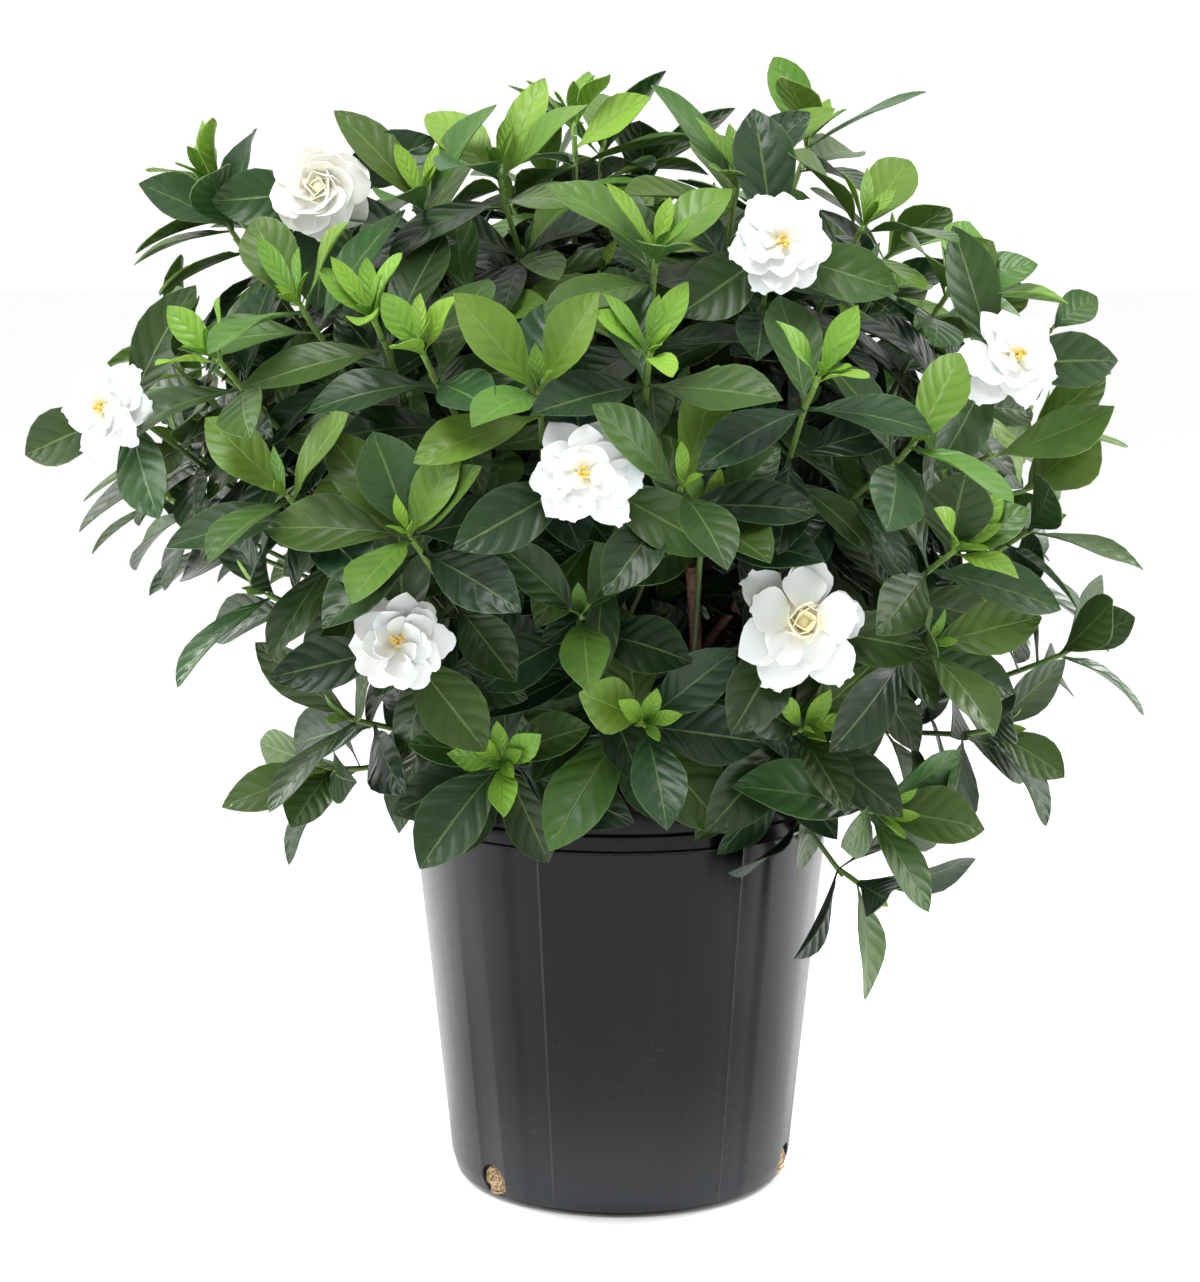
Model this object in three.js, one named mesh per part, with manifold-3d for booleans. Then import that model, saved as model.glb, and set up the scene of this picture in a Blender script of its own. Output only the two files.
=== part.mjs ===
// A gardenia shrub in a black nursery pot, in millimetres, +Z up, seen from -Y.
// The origin is the centre of the pot's flat underside. A turn is measured in degrees from
// the front towards +X.
import * as THREE from "three";
import { mergeVertices } from "three/addons/utils/BufferGeometryUtils.js";
import Module from "manifold-3d";

const wasm = await Module();
wasm.setup();

const V = (x, y, z) => new THREE.Vector3(x, y, z);
const UP = V(0, 0, 1);
const DEGREE = Math.PI / 180;
const FULL_TURN = 2 * Math.PI;

// Pot: a ten inch growers' pot with a banded rim, shallow flutes and three drain holes
const POT_HEIGHT = 242;
const RIM_RADIUS = 127;
const BAND_BOTTOM = POT_HEIGHT - 23;
const BAND_GROOVE = POT_HEIGHT - 13;
const SHOULDER_RADIUS = 122;
const CHAMFER_RADIUS = 101;
const CHAMFER_HEIGHT = 14;
const FOOT_RADIUS = 90;
const WALL = 2.2;
const FLOOR = 3.5;
const FLUTE_MIDDLES = [-27, 39, 111, 186, 261];
const FLUTE_DEPTH = 1.4;
const FLUTE_EDGES = [-5.5, -4.2, 4.2, 5.5];
const SPOKES_PER_FLUTE = 8;
const FIRST_DRAIN = -47;
const DRAIN_COUNT = 3;
const DRAIN_RADIUS = 10;
const DRAIN_HEIGHT = 13;

// Potting mix: fills the pot to a little under the rim, round a plain hole for the trunk
const MIX_TOP = 214;
const MIX_SIDES = 18;
const SEAT = 0.3;
const TRUNK_RADIUS = 11;
const TRUNK_DEPTH = 36;

// Wood: limbs rise from the crown, fork, and end where the green shoots begin
const CROWN_HEIGHT = 236;
const LIMB_REACH = 0.42;
const SHOOT_START = 0.56;
const LOWEST_SHOOT_START = 268;
const LIMB_RADIUS = 4.8;
const BRANCH_RADIUS = 3.1;
const BRANCH_TIP_RADIUS = 2.3;

// Green shoots: a short stalk that forks into four-sided arms. Leaves grow from the sides of
// an arm, in two bands that are given by how far back from its end they lie.
const STALK_LENGTH = 11;
const STALK_RADIUS = 2.4;
const ARM_RADIUS = 1.3;
const ARM_TIP_RADIUS = 1.6;
const ARM_SIDES = 4;
const BUD_LENGTH = 5;
const UPPER_BAND = [4, 1];
const LOWER_BAND = [18, 15];
const YOUNG_SHOOT = [0.3, 3, 5.5, 10];

// Leaves: which band of its shoot each whorl grows from, and which side and swing each of
// its leaves takes
const LEAF_LENGTH = 70;
const LEAF_HALF_WIDTH = 14.5;
const LEAF_MIDRIB = 1.3;
const LEAF_STATIONS = [0.3, 0.7];
const UPPER_SIDES = [[0, 0], [1, 30], [3, -30]];
const LOWER_SIDES = [[2, 0], [1, -30], [3, 30]];
const LOWER_WHORL = { seed: 1, band: 1, sides: LOWER_SIDES, pitch: 70, size: 1 };
const UPPER_WHORL = { seed: 0, band: 3, sides: UPPER_SIDES, pitch: 46, size: 0.9 };
const YOUNG_WHORL = { seed: 2, band: 1, sides: UPPER_SIDES, pitch: 30, size: 0.6 };
const LENGTH_SPREAD = [0.86, 1.14];
const WIDTH_SPREAD = [0.9, 1.1];
const ANGLE_SPREAD = [-8, 8];
const LEAF_ARCH = [10, 38];
const LEAF_FOLD = [8, 22];
const LEAF_WAVE = [0.8, 2];
const BLADE_GAP = 0.35;
const ROOT_REACH = 4;

// Blooms: a tube that widens to a cup, two whorls of petals, and a yellow centre. The cup's
// levels are heights over the arm's end, with the radius at each.
const BLOOM_TUBE = 12;
const CUP_LEVELS = [[0.3, 1.9], [8, 2.4], [9.4, 4.8], [11.2, 5.2], [12.4, 3.6]];
const PETAL_SIDES = 6;
const PETAL_LENGTH = 27;
const PETAL_HALF_WIDTH = 11;
const PETAL_MIDRIB = 1.2;
const PETAL_STATIONS = [0.58, 0.9];
const PETAL_SPREAD = [0.94, 1.06];
const PETAL_SWING = [-1.5, 1.5];
const PETAL_ARCH = 26;
const PETAL_FOLD = 14;
const PETAL_WAVE = 0.8;
const OUTER_PETALS = { band: 2, count: 6, pitch: 84, stagger: 8, size: 1, width: 1 };
const INNER_PETALS = { band: 3, count: 5, pitch: 46, stagger: 10, size: 0.76, width: 0.6 };

// The canopy's outline, which the rear shoots reach
const CANOPY_CENTRE = V(-12, 0, 425);
const CANOPY_HALF = V(258, 224, 178);

// An arm ends in a rosette of leaves, in a pale young tip, or in a bloom whose face is at
// the given point and looks the given way
const rosette = (x, y, z) => ({ end: V(x, y, z) });
const youngTip = (x, y, z) => ({ end: V(x, y, z), isYoung: true });
function bloomAt(x, y, z, facing, size = 1) {
  const axis = V(...facing).normalize();
  return { end: V(x, y, z).addScaledVector(axis, -BLOOM_TUBE), axis, bloomSize: size };
}

// Each front spray: the number of the limb that bears it, then its arms
const FRONT_SPRAYS = [
  [0, youngTip(-221, -60, 578), rosette(-104, -140, 572), bloomAt(-158, -150, 582, [-0.05, -1, 0.1], 0.9)],
  [0, youngTip(-124, -208, 512), rosette(-165, -180, 520), rosette(-214, -84, 560)],
  [1, youngTip(-205, -180, 489), rosette(-236, -130, 484)],
  [1, rosette(-240, -84, 440), bloomAt(-272, -162, 467, [-0.35, -1, 0.15], 0.86)],
  [1, rosette(-170, -208, 424), rosette(-188, -150, 366)],
  [2, rosette(-106, -238, 408), bloomAt(-114, -222, 352, [-0.05, -1, 0.3], 0.9)],
  [2, rosette(-146, -136, 296), rosette(-160, -104, 262), youngTip(-62, -172, 280)],
  [3, youngTip(-98, -226, 496), rosette(-41, -238, 480)],
  [4, rosette(-64, -140, 588), youngTip(-26, -30, 610)],
  [4, youngTip(14, -236, 495), rosette(18, -200, 546)],
  [4, rosette(104, -60, 606), rosette(62, -140, 584)],
  [5, bloomAt(82, -200, 554, [0.1, -1, 0.2], 0.9), rosette(128, -130, 560)],
  [5, rosette(176, -120, 526), bloomAt(206, -172, 495, [0.35, -1, 0.2], 0.9)],
  [5, youngTip(98, -220, 482), rosette(150, -206, 452)],
  [6, youngTip(170, -190, 392), rosette(160, -184, 344), rosette(226, -100, 396)],
  [6, rosette(250, -70, 322), rosette(204, -104, 284)],
  [7, rosette(136, -150, 248), rosette(96, -168, 296), rosette(134, -112, 198)],
  [3, bloomAt(-18, -262, 442, [0, -1, 0.2], 0.9), rosette(30, -240, 432)],
  [7, rosette(12, -200, 306), rosette(-20, -205, 362)],
  [7, bloomAt(93, -222, 362, [0.1, -1, 0.2], 1.1), rosette(44, -212, 412)],
];

// Each rear spray: the turn and elevation of its middle on the canopy, its limb, and
// whether it bears a bloom
const REAR_SPRAYS = [
  [104, -14, 8, false],
  [150, -18, 8, true],
  [205, -20, 9, false],
  [254, -6, 9, true],
  [120, 28, 8, false],
  [178, 24, 10, true],
  [256, 30, 9, false],
  [180, 68, 10, false],
];
const REAR_FAN = [[0, 14], [-16, -4], [16, -4], [0, -17]];
const REAR_JITTER = 5;

// A repeatable stream of draws between 0 and 1, seeded by whole numbers
function dice(...keys) {
  const RANGE = 2147483647;
  let state = keys.reduce((sum, key) => (sum * 613 + key * 97 + 11) % RANGE, 5);
  return () => {
    state = (state * 48271) % RANGE;
    return state / RANGE;
  };
}

const between = ([low, high], roll) => low + (high - low) * roll();
const mix = (a, b, share) => a.clone().lerp(b, share);
const along = (from, way, distance) => from.clone().addScaledVector(way, distance);
const direction = (from, to) => to.clone().sub(from).normalize();
const average = (points) => points.reduce((sum, p) => sum.add(p), V(0, 0, 0)).divideScalar(points.length);
const twoDigits = (number) => String(number).padStart(2, "0");

// The way out from an axis at an angle round it
function spokeFrom(axis, angle) {
  const first = axis.clone().cross(Math.abs(axis.z) > 0.95 ? V(1, 0, 0) : UP).normalize();
  const second = axis.clone().cross(first);
  return first.multiplyScalar(Math.cos(angle)).addScaledVector(second, Math.sin(angle));
}

// A closed geometry as a solid: points that coincide are merged, and faces that thereby
// lose a corner are left out
function toSolid(geometry) {
  geometry.deleteAttribute("normal");
  geometry.deleteAttribute("uv");
  const merged = mergeVertices(geometry, 1e-4);
  const corners = merged.index.array;
  const kept = [];
  for (let i = 0; i < corners.length; i += 3) {
    const [a, b, c] = corners.slice(i, i + 3);
    if (a !== b && b !== c && c !== a) kept.push(a, b, c);
  }
  const vertProperties = new Float32Array(merged.attributes.position.array);
  return new wasm.Manifold(new wasm.Mesh({ numProp: 3, vertProperties, triVerts: new Uint32Array(kept) }));
}

// The same geometry with each of its points moved
function reshape(geometry, move) {
  const positions = geometry.attributes.position;
  for (let i = 0; i < positions.count; i++) {
    const moved = move(new THREE.Vector3().fromBufferAttribute(positions, i), i);
    positions.setXYZ(i, moved.x, moved.y, moved.z);
  }
  return geometry;
}

// A closed skin of triangles, whose points are given seen from outside, anticlockwise
class Skin {
  points = [];
  faces = [];

  add(points) {
    const first = this.points.length;
    this.points.push(...points);
    return points.map((_, i) => first + i);
  }

  fan(hub, rim) {
    rim.forEach((corner, i) => this.faces.push(hub, corner, rim[(i + 1) % rim.length]));
  }

  cap(rim) {
    for (let i = 1; i + 1 < rim.length; i++) this.faces.push(rim[0], rim[i], rim[i + 1]);
  }

  // A blade that grows from a four-cornered side. It arches away from up, folds up along
  // its midrib and waves at its edges. Both of its faces are split alike.
  blade(corners, { root, way, up, length, halfWidth, arch, fold, wave, phase, stations, outline, midrib }) {
    const side = way.clone().cross(up);
    const spine = (s) => {
      const turn = arch * s;
      const point = along(root, way, (length * Math.sin(turn)) / arch);
      const normal = up.clone().multiplyScalar(Math.cos(turn)).addScaledVector(way, Math.sin(turn));
      return [point.addScaledVector(up, (-length * (1 - Math.cos(turn))) / arch), normal];
    };
    const sections = stations.map((s) => {
      const [middle, normal] = spine(s);
      const width = halfWidth * outline(s);
      const edge = (sign, lag) => {
        const lift = width * Math.sin(fold) + wave * Math.sin(phase + lag + 7 * s);
        return along(along(middle, side, sign * width * Math.cos(fold)), normal, lift);
      };
      const [under, over] = [along(middle, normal, -midrib / 2), along(middle, normal, midrib / 2)];
      return this.add([under, edge(-1, 2), over, edge(1, 0)]);
    });
    for (let i = 0; i < 4; i++) {
      const next = (i + 1) % 4;
      this.faces.push(corners[i], corners[next], sections[0][i]);
      this.faces.push(corners[next], sections[0][next], sections[0][i]);
    }
    for (let i = 0; i + 1 < sections.length; i++) {
      const [[under, right, over, left], [under2, right2, over2, left2]] = [sections[i], sections[i + 1]];
      this.faces.push(under, right, under2, right, right2, under2, left, under, under2, left, under2, left2);
      this.faces.push(right, over, over2, right, over2, right2, over, left, over2, left, left2, over2);
    }
    this.fan(this.add([spine(1)[0]])[0], sections.at(-1));
  }

  toSolid() {
    return toSolid(new THREE.BufferGeometry().setFromPoints(this.points).setIndex(this.faces));
  }
}

// Rings of points round the joints of a bent line, carried on without a twist and turned by
// spin. They run anticlockwise, seen from the line's end.
function ringsAlong(path, radii, sides, spin = 0) {
  let side = spokeFrom(direction(path[0], path[1]), spin);
  return path.map((joint, i) => {
    const way = direction(path[Math.max(i - 1, 0)], path[Math.min(i + 1, path.length - 1)]);
    side = along(side, way, -side.dot(way)).normalize();
    const other = way.clone().cross(side);
    return Array.from({ length: sides }, (_, k) => {
      const angle = (k / sides) * FULL_TURN;
      return along(along(joint, side, radii[i] * Math.cos(angle)), other, radii[i] * Math.sin(angle));
    });
  });
}

// A stem through rings, with blades on some of its sides, and a bud at its end if it has a tip
function growStem(rings, blades = [], tip = null) {
  const skin = new Skin();
  const indices = rings.map((points) => skin.add(points));
  skin.cap([...indices[0]].reverse());
  for (let band = 0; band + 1 < rings.length; band++)
    for (let side = 0; side < rings[0].length; side++) {
      const corners = sideCorners(indices, band, side);
      const found = blades.find((blade) => blade.band === band && blade.side === side);
      if (found) skin.blade(corners, found.shape);
      else skin.cap(corners);
    }
  if (tip) skin.fan(skin.add([tip])[0], indices.at(-1));
  else skin.cap(indices.at(-1));
  return skin.toSolid();
}
function sideCorners(rings, band, side) {
  const next = (side + 1) % rings[0].length;
  return [rings[band][side], rings[band][next], rings[band + 1][next], rings[band + 1][side]];
}
const stem = (path, radii, sides) => growStem(ringsAlong(path, radii, sides));

// One blade as a closed body of its own, for trying it in its place
function trialBlade(corners, shape) {
  const skin = new Skin();
  const indices = skin.add(corners);
  skin.cap([...indices].reverse());
  skin.blade(indices, shape);
  return skin.toSolid();
}

// Bodies joined in one, without crumbs or sealed hollows
function fuse(bodies) {
  const parts = wasm.Manifold.union(bodies).decompose();
  return parts.reduce((best, part) => (part.volume() > best.volume() ? part : best));
}

// What stands already. A blade has a free part, beyond where it may touch its own shoot and
// the blades of its own whorl. All else that stands is kept clear of by the whole blade.
const standing = [];
function stand(body, shoot, whorl = null, free = body) {
  standing.push({ body, free, shoot, whorl, box: body.boundingBox() });
  return body;
}
function isClear(body, shoot, whorl, free) {
  const { min, max } = body.boundingBox();
  const isFar = ({ min: low, max: high }) =>
    min.some((value, k) => value > high[k] + BLADE_GAP || max[k] < low[k] - BLADE_GAP);
  const isSameRoot = (item) => item.shoot === shoot && [null, whorl].includes(item.whorl);
  return standing.every((item) => {
    if (isFar(item.box)) return true;
    const [mine, theirs] = isSameRoot(item) ? [free(), item.free] : [body, item.body];
    return mine.minGap(theirs, BLADE_GAP) >= BLADE_GAP;
  });
}

// Pot
function potProfile() {
  return [
    [0, 0],
    [FOOT_RADIUS, 0],
    [CHAMFER_RADIUS - 3, 4],
    [CHAMFER_RADIUS, CHAMFER_HEIGHT],
    [SHOULDER_RADIUS, BAND_BOTTOM - 2],
    [RIM_RADIUS - 1.5, BAND_BOTTOM],
    [RIM_RADIUS - 1, BAND_GROOVE - 1],
    [RIM_RADIUS - 2.4, BAND_GROOVE],
    [RIM_RADIUS, BAND_GROOVE + 1.5],
    [RIM_RADIUS, POT_HEIGHT],
    [RIM_RADIUS - WALL, POT_HEIGHT],
    [SHOULDER_RADIUS - WALL, BAND_BOTTOM - 2],
    [CHAMFER_RADIUS - WALL, CHAMFER_HEIGHT],
    [FOOT_RADIUS, FLOOR],
    [0, FLOOR],
  ];
}
function potSpokes() {
  const plainCount = SPOKES_PER_FLUTE - FLUTE_EDGES.length;
  const fluteWidth = FLUTE_EDGES.at(-1) - FLUTE_EDGES[0];
  const spokes = [];
  FLUTE_MIDDLES.forEach((middle, flute) => {
    const next = FLUTE_MIDDLES[flute + 1] ?? FLUTE_MIDDLES[0] + 360;
    const plainStep = (next - middle - fluteWidth) / (plainCount + 1);
    FLUTE_EDGES.forEach((edge, i) => spokes.push({ turn: middle + edge, isSunk: i === 1 || i === 2 }));
    for (let k = 1; k <= plainCount; k++)
      spokes.push({ turn: middle + FLUTE_EDGES.at(-1) + k * plainStep, isSunk: false });
  });
  return spokes;
}
function makePot() {
  const profile = potProfile();
  const spokes = potSpokes();
  const [fluteFoot, fluteHead] = [3, 4];
  const round = new THREE.LatheGeometry(profile.map(([r, z]) => new THREE.Vector2(r, z)), spokes.length);
  const fluted = reshape(round, (_, i) => {
    const level = i % profile.length;
    const { turn, isSunk } = spokes[Math.floor(i / profile.length) % spokes.length];
    const depth = isSunk && (level === fluteFoot || level === fluteHead) ? FLUTE_DEPTH : 0;
    const [radius, height] = profile[level];
    const angle = turn * DEGREE;
    return V((radius - depth) * Math.sin(angle), (depth - radius) * Math.cos(angle), height);
  });
  let pot = toSolid(fluted);
  for (let k = 0; k < DRAIN_COUNT; k++) {
    const angle = (FIRST_DRAIN + (k * 360) / DRAIN_COUNT) * DEGREE;
    const out = V(Math.sin(angle), -Math.cos(angle), 0);
    const inside = along(V(0, 0, DRAIN_HEIGHT + 3), out, CHAMFER_RADIUS - 20);
    const outside = along(V(0, 0, DRAIN_HEIGHT - 3), out, CHAMFER_RADIUS + 10);
    pot = pot.subtract(stem([inside, outside], [DRAIN_RADIUS, DRAIN_RADIUS], 10));
  }
  return pot;
}

// Potting mix
function makePottingMix() {
  const holeRadius = TRUNK_RADIUS + 1.5;
  const holeFloor = MIX_TOP - TRUNK_DEPTH;
  const inset = WALL + 1.8;
  const profile = [
    [0, FLOOR + SEAT, 0],
    [FOOT_RADIUS - 1, FLOOR + SEAT, 0],
    [CHAMFER_RADIUS - inset, CHAMFER_HEIGHT + 1, 0],
    [SHOULDER_RADIUS - inset, MIX_TOP - 4, 0],
    [SHOULDER_RADIUS - 15, MIX_TOP, 5],
    [72, MIX_TOP + 2, 7],
    [38, MIX_TOP + 3, 5],
    [holeRadius, MIX_TOP + 3, 0],
    [holeRadius, holeFloor, 0],
    [0, holeFloor, 0],
  ];
  const round = new THREE.LatheGeometry(profile.map(([r, z]) => new THREE.Vector2(r, z)), MIX_SIDES);
  const lumpy = reshape(round, ({ x, y, z }, i) => {
    const roll = dice(300, i % (profile.length * MIX_SIDES));
    return V(x, -z, y + profile[i % profile.length][2] * (roll() - 0.5));
  });
  return toSolid(lumpy);
}

// Sprays: which limb bears each, where it begins, and where its arms go
const CROWN = V(0, 0, CROWN_HEIGHT);
function rearSpray([turn, elevation, limb, hasBloom], index) {
  const arms = REAR_FAN.map(([aside, lift], k) => {
    const roll = dice(400 + index, k);
    const a = (turn + aside + REAR_JITTER * (2 * roll() - 1)) * DEGREE;
    const e = (elevation + lift + REAR_JITTER * (2 * roll() - 1)) * DEGREE;
    const reach = V(Math.sin(a) * Math.cos(e), -Math.cos(a) * Math.cos(e), Math.sin(e)).multiply(CANOPY_HALF);
    const end = CANOPY_CENTRE.clone().add(reach);
    const facing = along(reach.normalize(), UP, 0.25).normalize();
    return hasBloom && k === 0 ? { end, axis: facing, bloomSize: 1 } : { end };
  });
  return [limb, ...arms];
}
function planSprays() {
  const rows = [...FRONT_SPRAYS, ...REAR_SPRAYS.map(rearSpray)];
  const sprays = rows.map(([limb, ...arms], index) => {
    const middle = average(arms.map((arm) => arm.end));
    const base = mix(CROWN, middle, SHOOT_START);
    base.z = Math.max(base.z, LOWEST_SHOOT_START);
    return { index, name: `leafy_spray_${twoDigits(index + 1)}`, limb, arms, middle, base };
  });
  for (const spray of sprays) {
    const bases = sprays.filter(({ limb }) => limb === spray.limb).map(({ base }) => base);
    spray.fork = mix(CROWN, average(bases), LIMB_REACH);
    spray.heading = direction(spray.fork, spray.base);
    spray.arms = spray.arms.map((arm, index) => planArm(arm, index, spray));
  }
  return sprays;
}
function planArm(arm, index, spray) {
  const start = along(spray.base, spray.heading, STALK_LENGTH - 4);
  const natural = direction(CANOPY_CENTRE, arm.end).add(direction(start, arm.end));
  const axis = arm.axis ?? along(natural, UP, 0.8).normalize();
  const hasRosette = !arm.isYoung && !arm.bloomSize;
  const backs = [...LOWER_BAND, ...(hasRosette ? UPPER_BAND : [0])];
  const path = [start, ...backs.map((back) => along(arm.end, axis, -back))];
  const radii = path.map((_, i) => (i === 0 ? ARM_RADIUS : ARM_TIP_RADIUS));
  const spin = FULL_TURN * dice(500, spray.index, index)();
  const rings = ringsAlong(path, radii, ARM_SIDES, spin);
  const tip = hasRosette ? along(arm.end, axis, BUD_LENGTH) : null;
  return { ...arm, index, spray, name: `${spray.name}_${index}`, axis, rings, tip, blades: [] };
}

// Woody stems
function makeWood(sprays) {
  const foot = V(0, 0, MIX_TOP - TRUNK_DEPTH + SEAT);
  const collar = V(0, 0, MIX_TOP + 4);
  const trunk = stem([foot, collar, along(CROWN, UP, 4)], [TRUNK_RADIUS, TRUNK_RADIUS, LIMB_RADIUS + 1], 7);
  const limbs = [...new Set(sprays.map(({ limb }) => limb))].map((number) => {
    const { fork } = sprays.find(({ limb }) => limb === number);
    const bend = along(mix(CROWN, fork, 0.5), UP, 5);
    return stem([along(CROWN, UP, -6), bend, fork], [LIMB_RADIUS + 1, LIMB_RADIUS, BRANCH_RADIUS + 0.4], 4);
  });
  const branches = sprays.map(({ fork, base }) => {
    return stem([fork, base], [BRANCH_RADIUS, BRANCH_TIP_RADIUS], 4);
  });
  return fuse([trunk, ...limbs, ...branches]);
}

// Green stalks
function makeStalk({ base, heading }) {
  const ends = [along(base, heading, SEAT), along(base, heading, STALK_LENGTH)];
  return stem(ends, [BRANCH_TIP_RADIUS, STALK_RADIUS], 4);
}

// The directions of a blade on one side of a shoot: out from the axis at a lean, with its
// upper face towards the axis
function bladePose(rings, band, side, axis, swing, lean) {
  const corners = sideCorners(rings, band, side);
  const root = average(corners);
  const outward = average([corners[0], corners[1]]).sub(average(rings[band]));
  const spoke = along(outward, axis, -outward.dot(axis)).normalize().applyAxisAngle(axis, swing * DEGREE);
  const [rise, reach] = [Math.cos(lean * DEGREE), Math.sin(lean * DEGREE)];
  return {
    corners,
    root,
    spoke,
    way: axis.clone().multiplyScalar(rise).addScaledVector(spoke, reach),
    up: axis.clone().multiplyScalar(reach).addScaledVector(spoke, -rise),
  };
}

// Blooms
const petalOutline = (s) => Math.sin(Math.PI * s ** 1.35) ** 0.7;
function makePetals({ end, axis, bloomSize }, number) {
  const roll = dice(700, number);
  const path = CUP_LEVELS.map(([height]) => along(end, axis, height));
  const radii = CUP_LEVELS.map(([, radius]) => radius);
  const rings = ringsAlong(path, radii, PETAL_SIDES, FULL_TURN * roll());
  const blades = [];
  for (const { band, count, pitch, stagger, size, width } of [OUTER_PETALS, INNER_PETALS])
    for (let side = 0; side < count; side++) {
      const lean = pitch + stagger * (side % 2);
      const pose = bladePose(rings, band, side, axis, between(PETAL_SWING, roll), lean);
      const shape = {
        ...pose,
        length: PETAL_LENGTH * size * bloomSize * between(PETAL_SPREAD, roll),
        halfWidth: PETAL_HALF_WIDTH * width * bloomSize,
        arch: PETAL_ARCH * DEGREE,
        fold: PETAL_FOLD * DEGREE,
        wave: PETAL_WAVE,
        phase: FULL_TURN * roll(),
        stations: PETAL_STATIONS,
        outline: petalOutline,
        midrib: PETAL_MIDRIB,
      };
      blades.push({ band, side, shape });
    }
  return growStem(rings, blades);
}
function makeBloomCentre({ end, axis, bloomSize }) {
  const profile = [[0, 0], [1.6, 0], [2.6, 4], [0, 8.5]].map(([r, z]) => new THREE.Vector2(r, z));
  const spokeCount = 8;
  const foot = CUP_LEVELS.at(-1)[0] + SEAT;
  const round = new THREE.LatheGeometry(profile, spokeCount);
  const star = reshape(round, ({ x, y, z }, i) => {
    const isHollow = Math.floor(i / profile.length) % 2 === 1 && i % profile.length === 2;
    const radius = Math.hypot(x, z) * bloomSize * (isHollow ? 0.5 : 1);
    return along(along(end, axis, foot + y), spokeFrom(axis, Math.atan2(x, z)), radius);
  });
  return toSolid(star);
}

// Leaves. A slot is where a leaf can grow. It takes the first of the poses in which it is
// clear of all that stands, and stays empty where there is none.
const leafOutline = (s) => Math.sin(Math.PI * s ** 1.15);
const POSES = [];
for (const size of [1, 0.86, 0.74])
  for (const lift of [0, -12, 12, -24])
    for (const swing of [0, 14, -14, 28, -28]) POSES.push({ size, lift, swing });

function whorlSlots(arm, whorl) {
  const roll = dice(arm.spray.index, arm.index, whorl.seed);
  const hasRosette = !arm.isYoung && !arm.bloomSize;
  const spared = whorl === LOWER_WHORL && hasRosette ? Math.floor(whorl.sides.length * roll()) : -1;
  const slots = whorl.sides.map(([side, swing]) => ({
    side,
    swing: swing + between(ANGLE_SPREAD, roll),
    pitch: whorl.pitch + between(ANGLE_SPREAD, roll),
    length: LEAF_LENGTH * whorl.size * between(LENGTH_SPREAD, roll),
    halfWidth: LEAF_HALF_WIDTH * whorl.size * between(WIDTH_SPREAD, roll),
    arch: between(LEAF_ARCH, roll) * DEGREE,
    fold: between(LEAF_FOLD, roll) * DEGREE,
    wave: between(LEAF_WAVE, roll),
    phase: FULL_TURN * roll(),
  }));
  return slots.filter((_, i) => i !== spared);
}
function growWhorl(arm, whorl, rings, blades, name) {
  for (const slot of whorlSlots(arm, whorl)) {
    for (const { size, lift, swing } of POSES) {
      const pose = bladePose(rings, whorl.band, slot.side, arm.axis, slot.swing + swing, slot.pitch + lift);
      const shape = {
        ...slot,
        ...pose,
        length: slot.length * size,
        halfWidth: slot.halfWidth * size,
        stations: LEAF_STATIONS,
        outline: leafOutline,
        midrib: LEAF_MIDRIB,
      };
      const body = trialBlade(pose.corners, shape);
      const free = () => body.trimByPlane(pose.spoke.toArray(), pose.spoke.dot(pose.root) + ROOT_REACH);
      if (isClear(body, name, whorl.seed, free)) {
        stand(body, name, whorl.seed, free());
        blades.push({ band: whorl.band, side: slot.side, shape });
        break;
      }
    }
  }
}
function makeYoungTip(arm, name) {
  const path = YOUNG_SHOOT.map((height) => along(arm.end, arm.axis, height));
  const rings = ringsAlong(path.slice(0, 3), path.map(() => ARM_TIP_RADIUS), ARM_SIDES, 1);
  const tip = path[3];
  const blades = [];
  stand(growStem(rings, blades, tip), name);
  growWhorl(arm, YOUNG_WHORL, rings, blades, name);
  return growStem(rings, blades, tip);
}

// The whole plant, from the pot outwards
function makePlant() {
  const nodes = new Map();
  const add = (name, body) => nodes.set(name, body);
  add("pot", stand(makePot(), "pot"));
  add("potting_mix", stand(makePottingMix(), "potting_mix"));

  const sprays = planSprays();
  add("woody_stems", stand(makeWood(sprays), "woody_stems"));
  const arms = sprays.flatMap((spray) => spray.arms);
  for (const spray of sprays) spray.stalk = stand(makeStalk(spray), spray.name);
  for (const arm of arms) stand(growStem(arm.rings, [], arm.tip), arm.name);

  arms.filter(({ bloomSize }) => bloomSize).forEach((arm, i) => {
    const number = twoDigits(i + 1);
    add(`bloom_petals_${number}`, stand(makePetals(arm, i + 1), `bloom_petals_${number}`));
    add(`bloom_centre_${number}`, stand(makeBloomCentre(arm), `bloom_centre_${number}`));
  });
  arms.filter(({ isYoung }) => isYoung).forEach((arm, i) => {
    const name = `young_tip_${twoDigits(i + 1)}`;
    add(name, makeYoungTip(arm, name));
  });

  const grow = (arm, whorl) => growWhorl(arm, whorl, arm.rings, arm.blades, arm.name);
  arms.forEach((arm) => grow(arm, LOWER_WHORL));
  arms.filter(({ tip }) => tip).forEach((arm) => grow(arm, UPPER_WHORL));
  for (const spray of sprays) {
    const leafyArms = spray.arms.map(({ rings, blades, tip }) => growStem(rings, blades, tip));
    add(spray.name, fuse([spray.stalk, ...leafyArms]));
  }
  return nodes;
}

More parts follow.
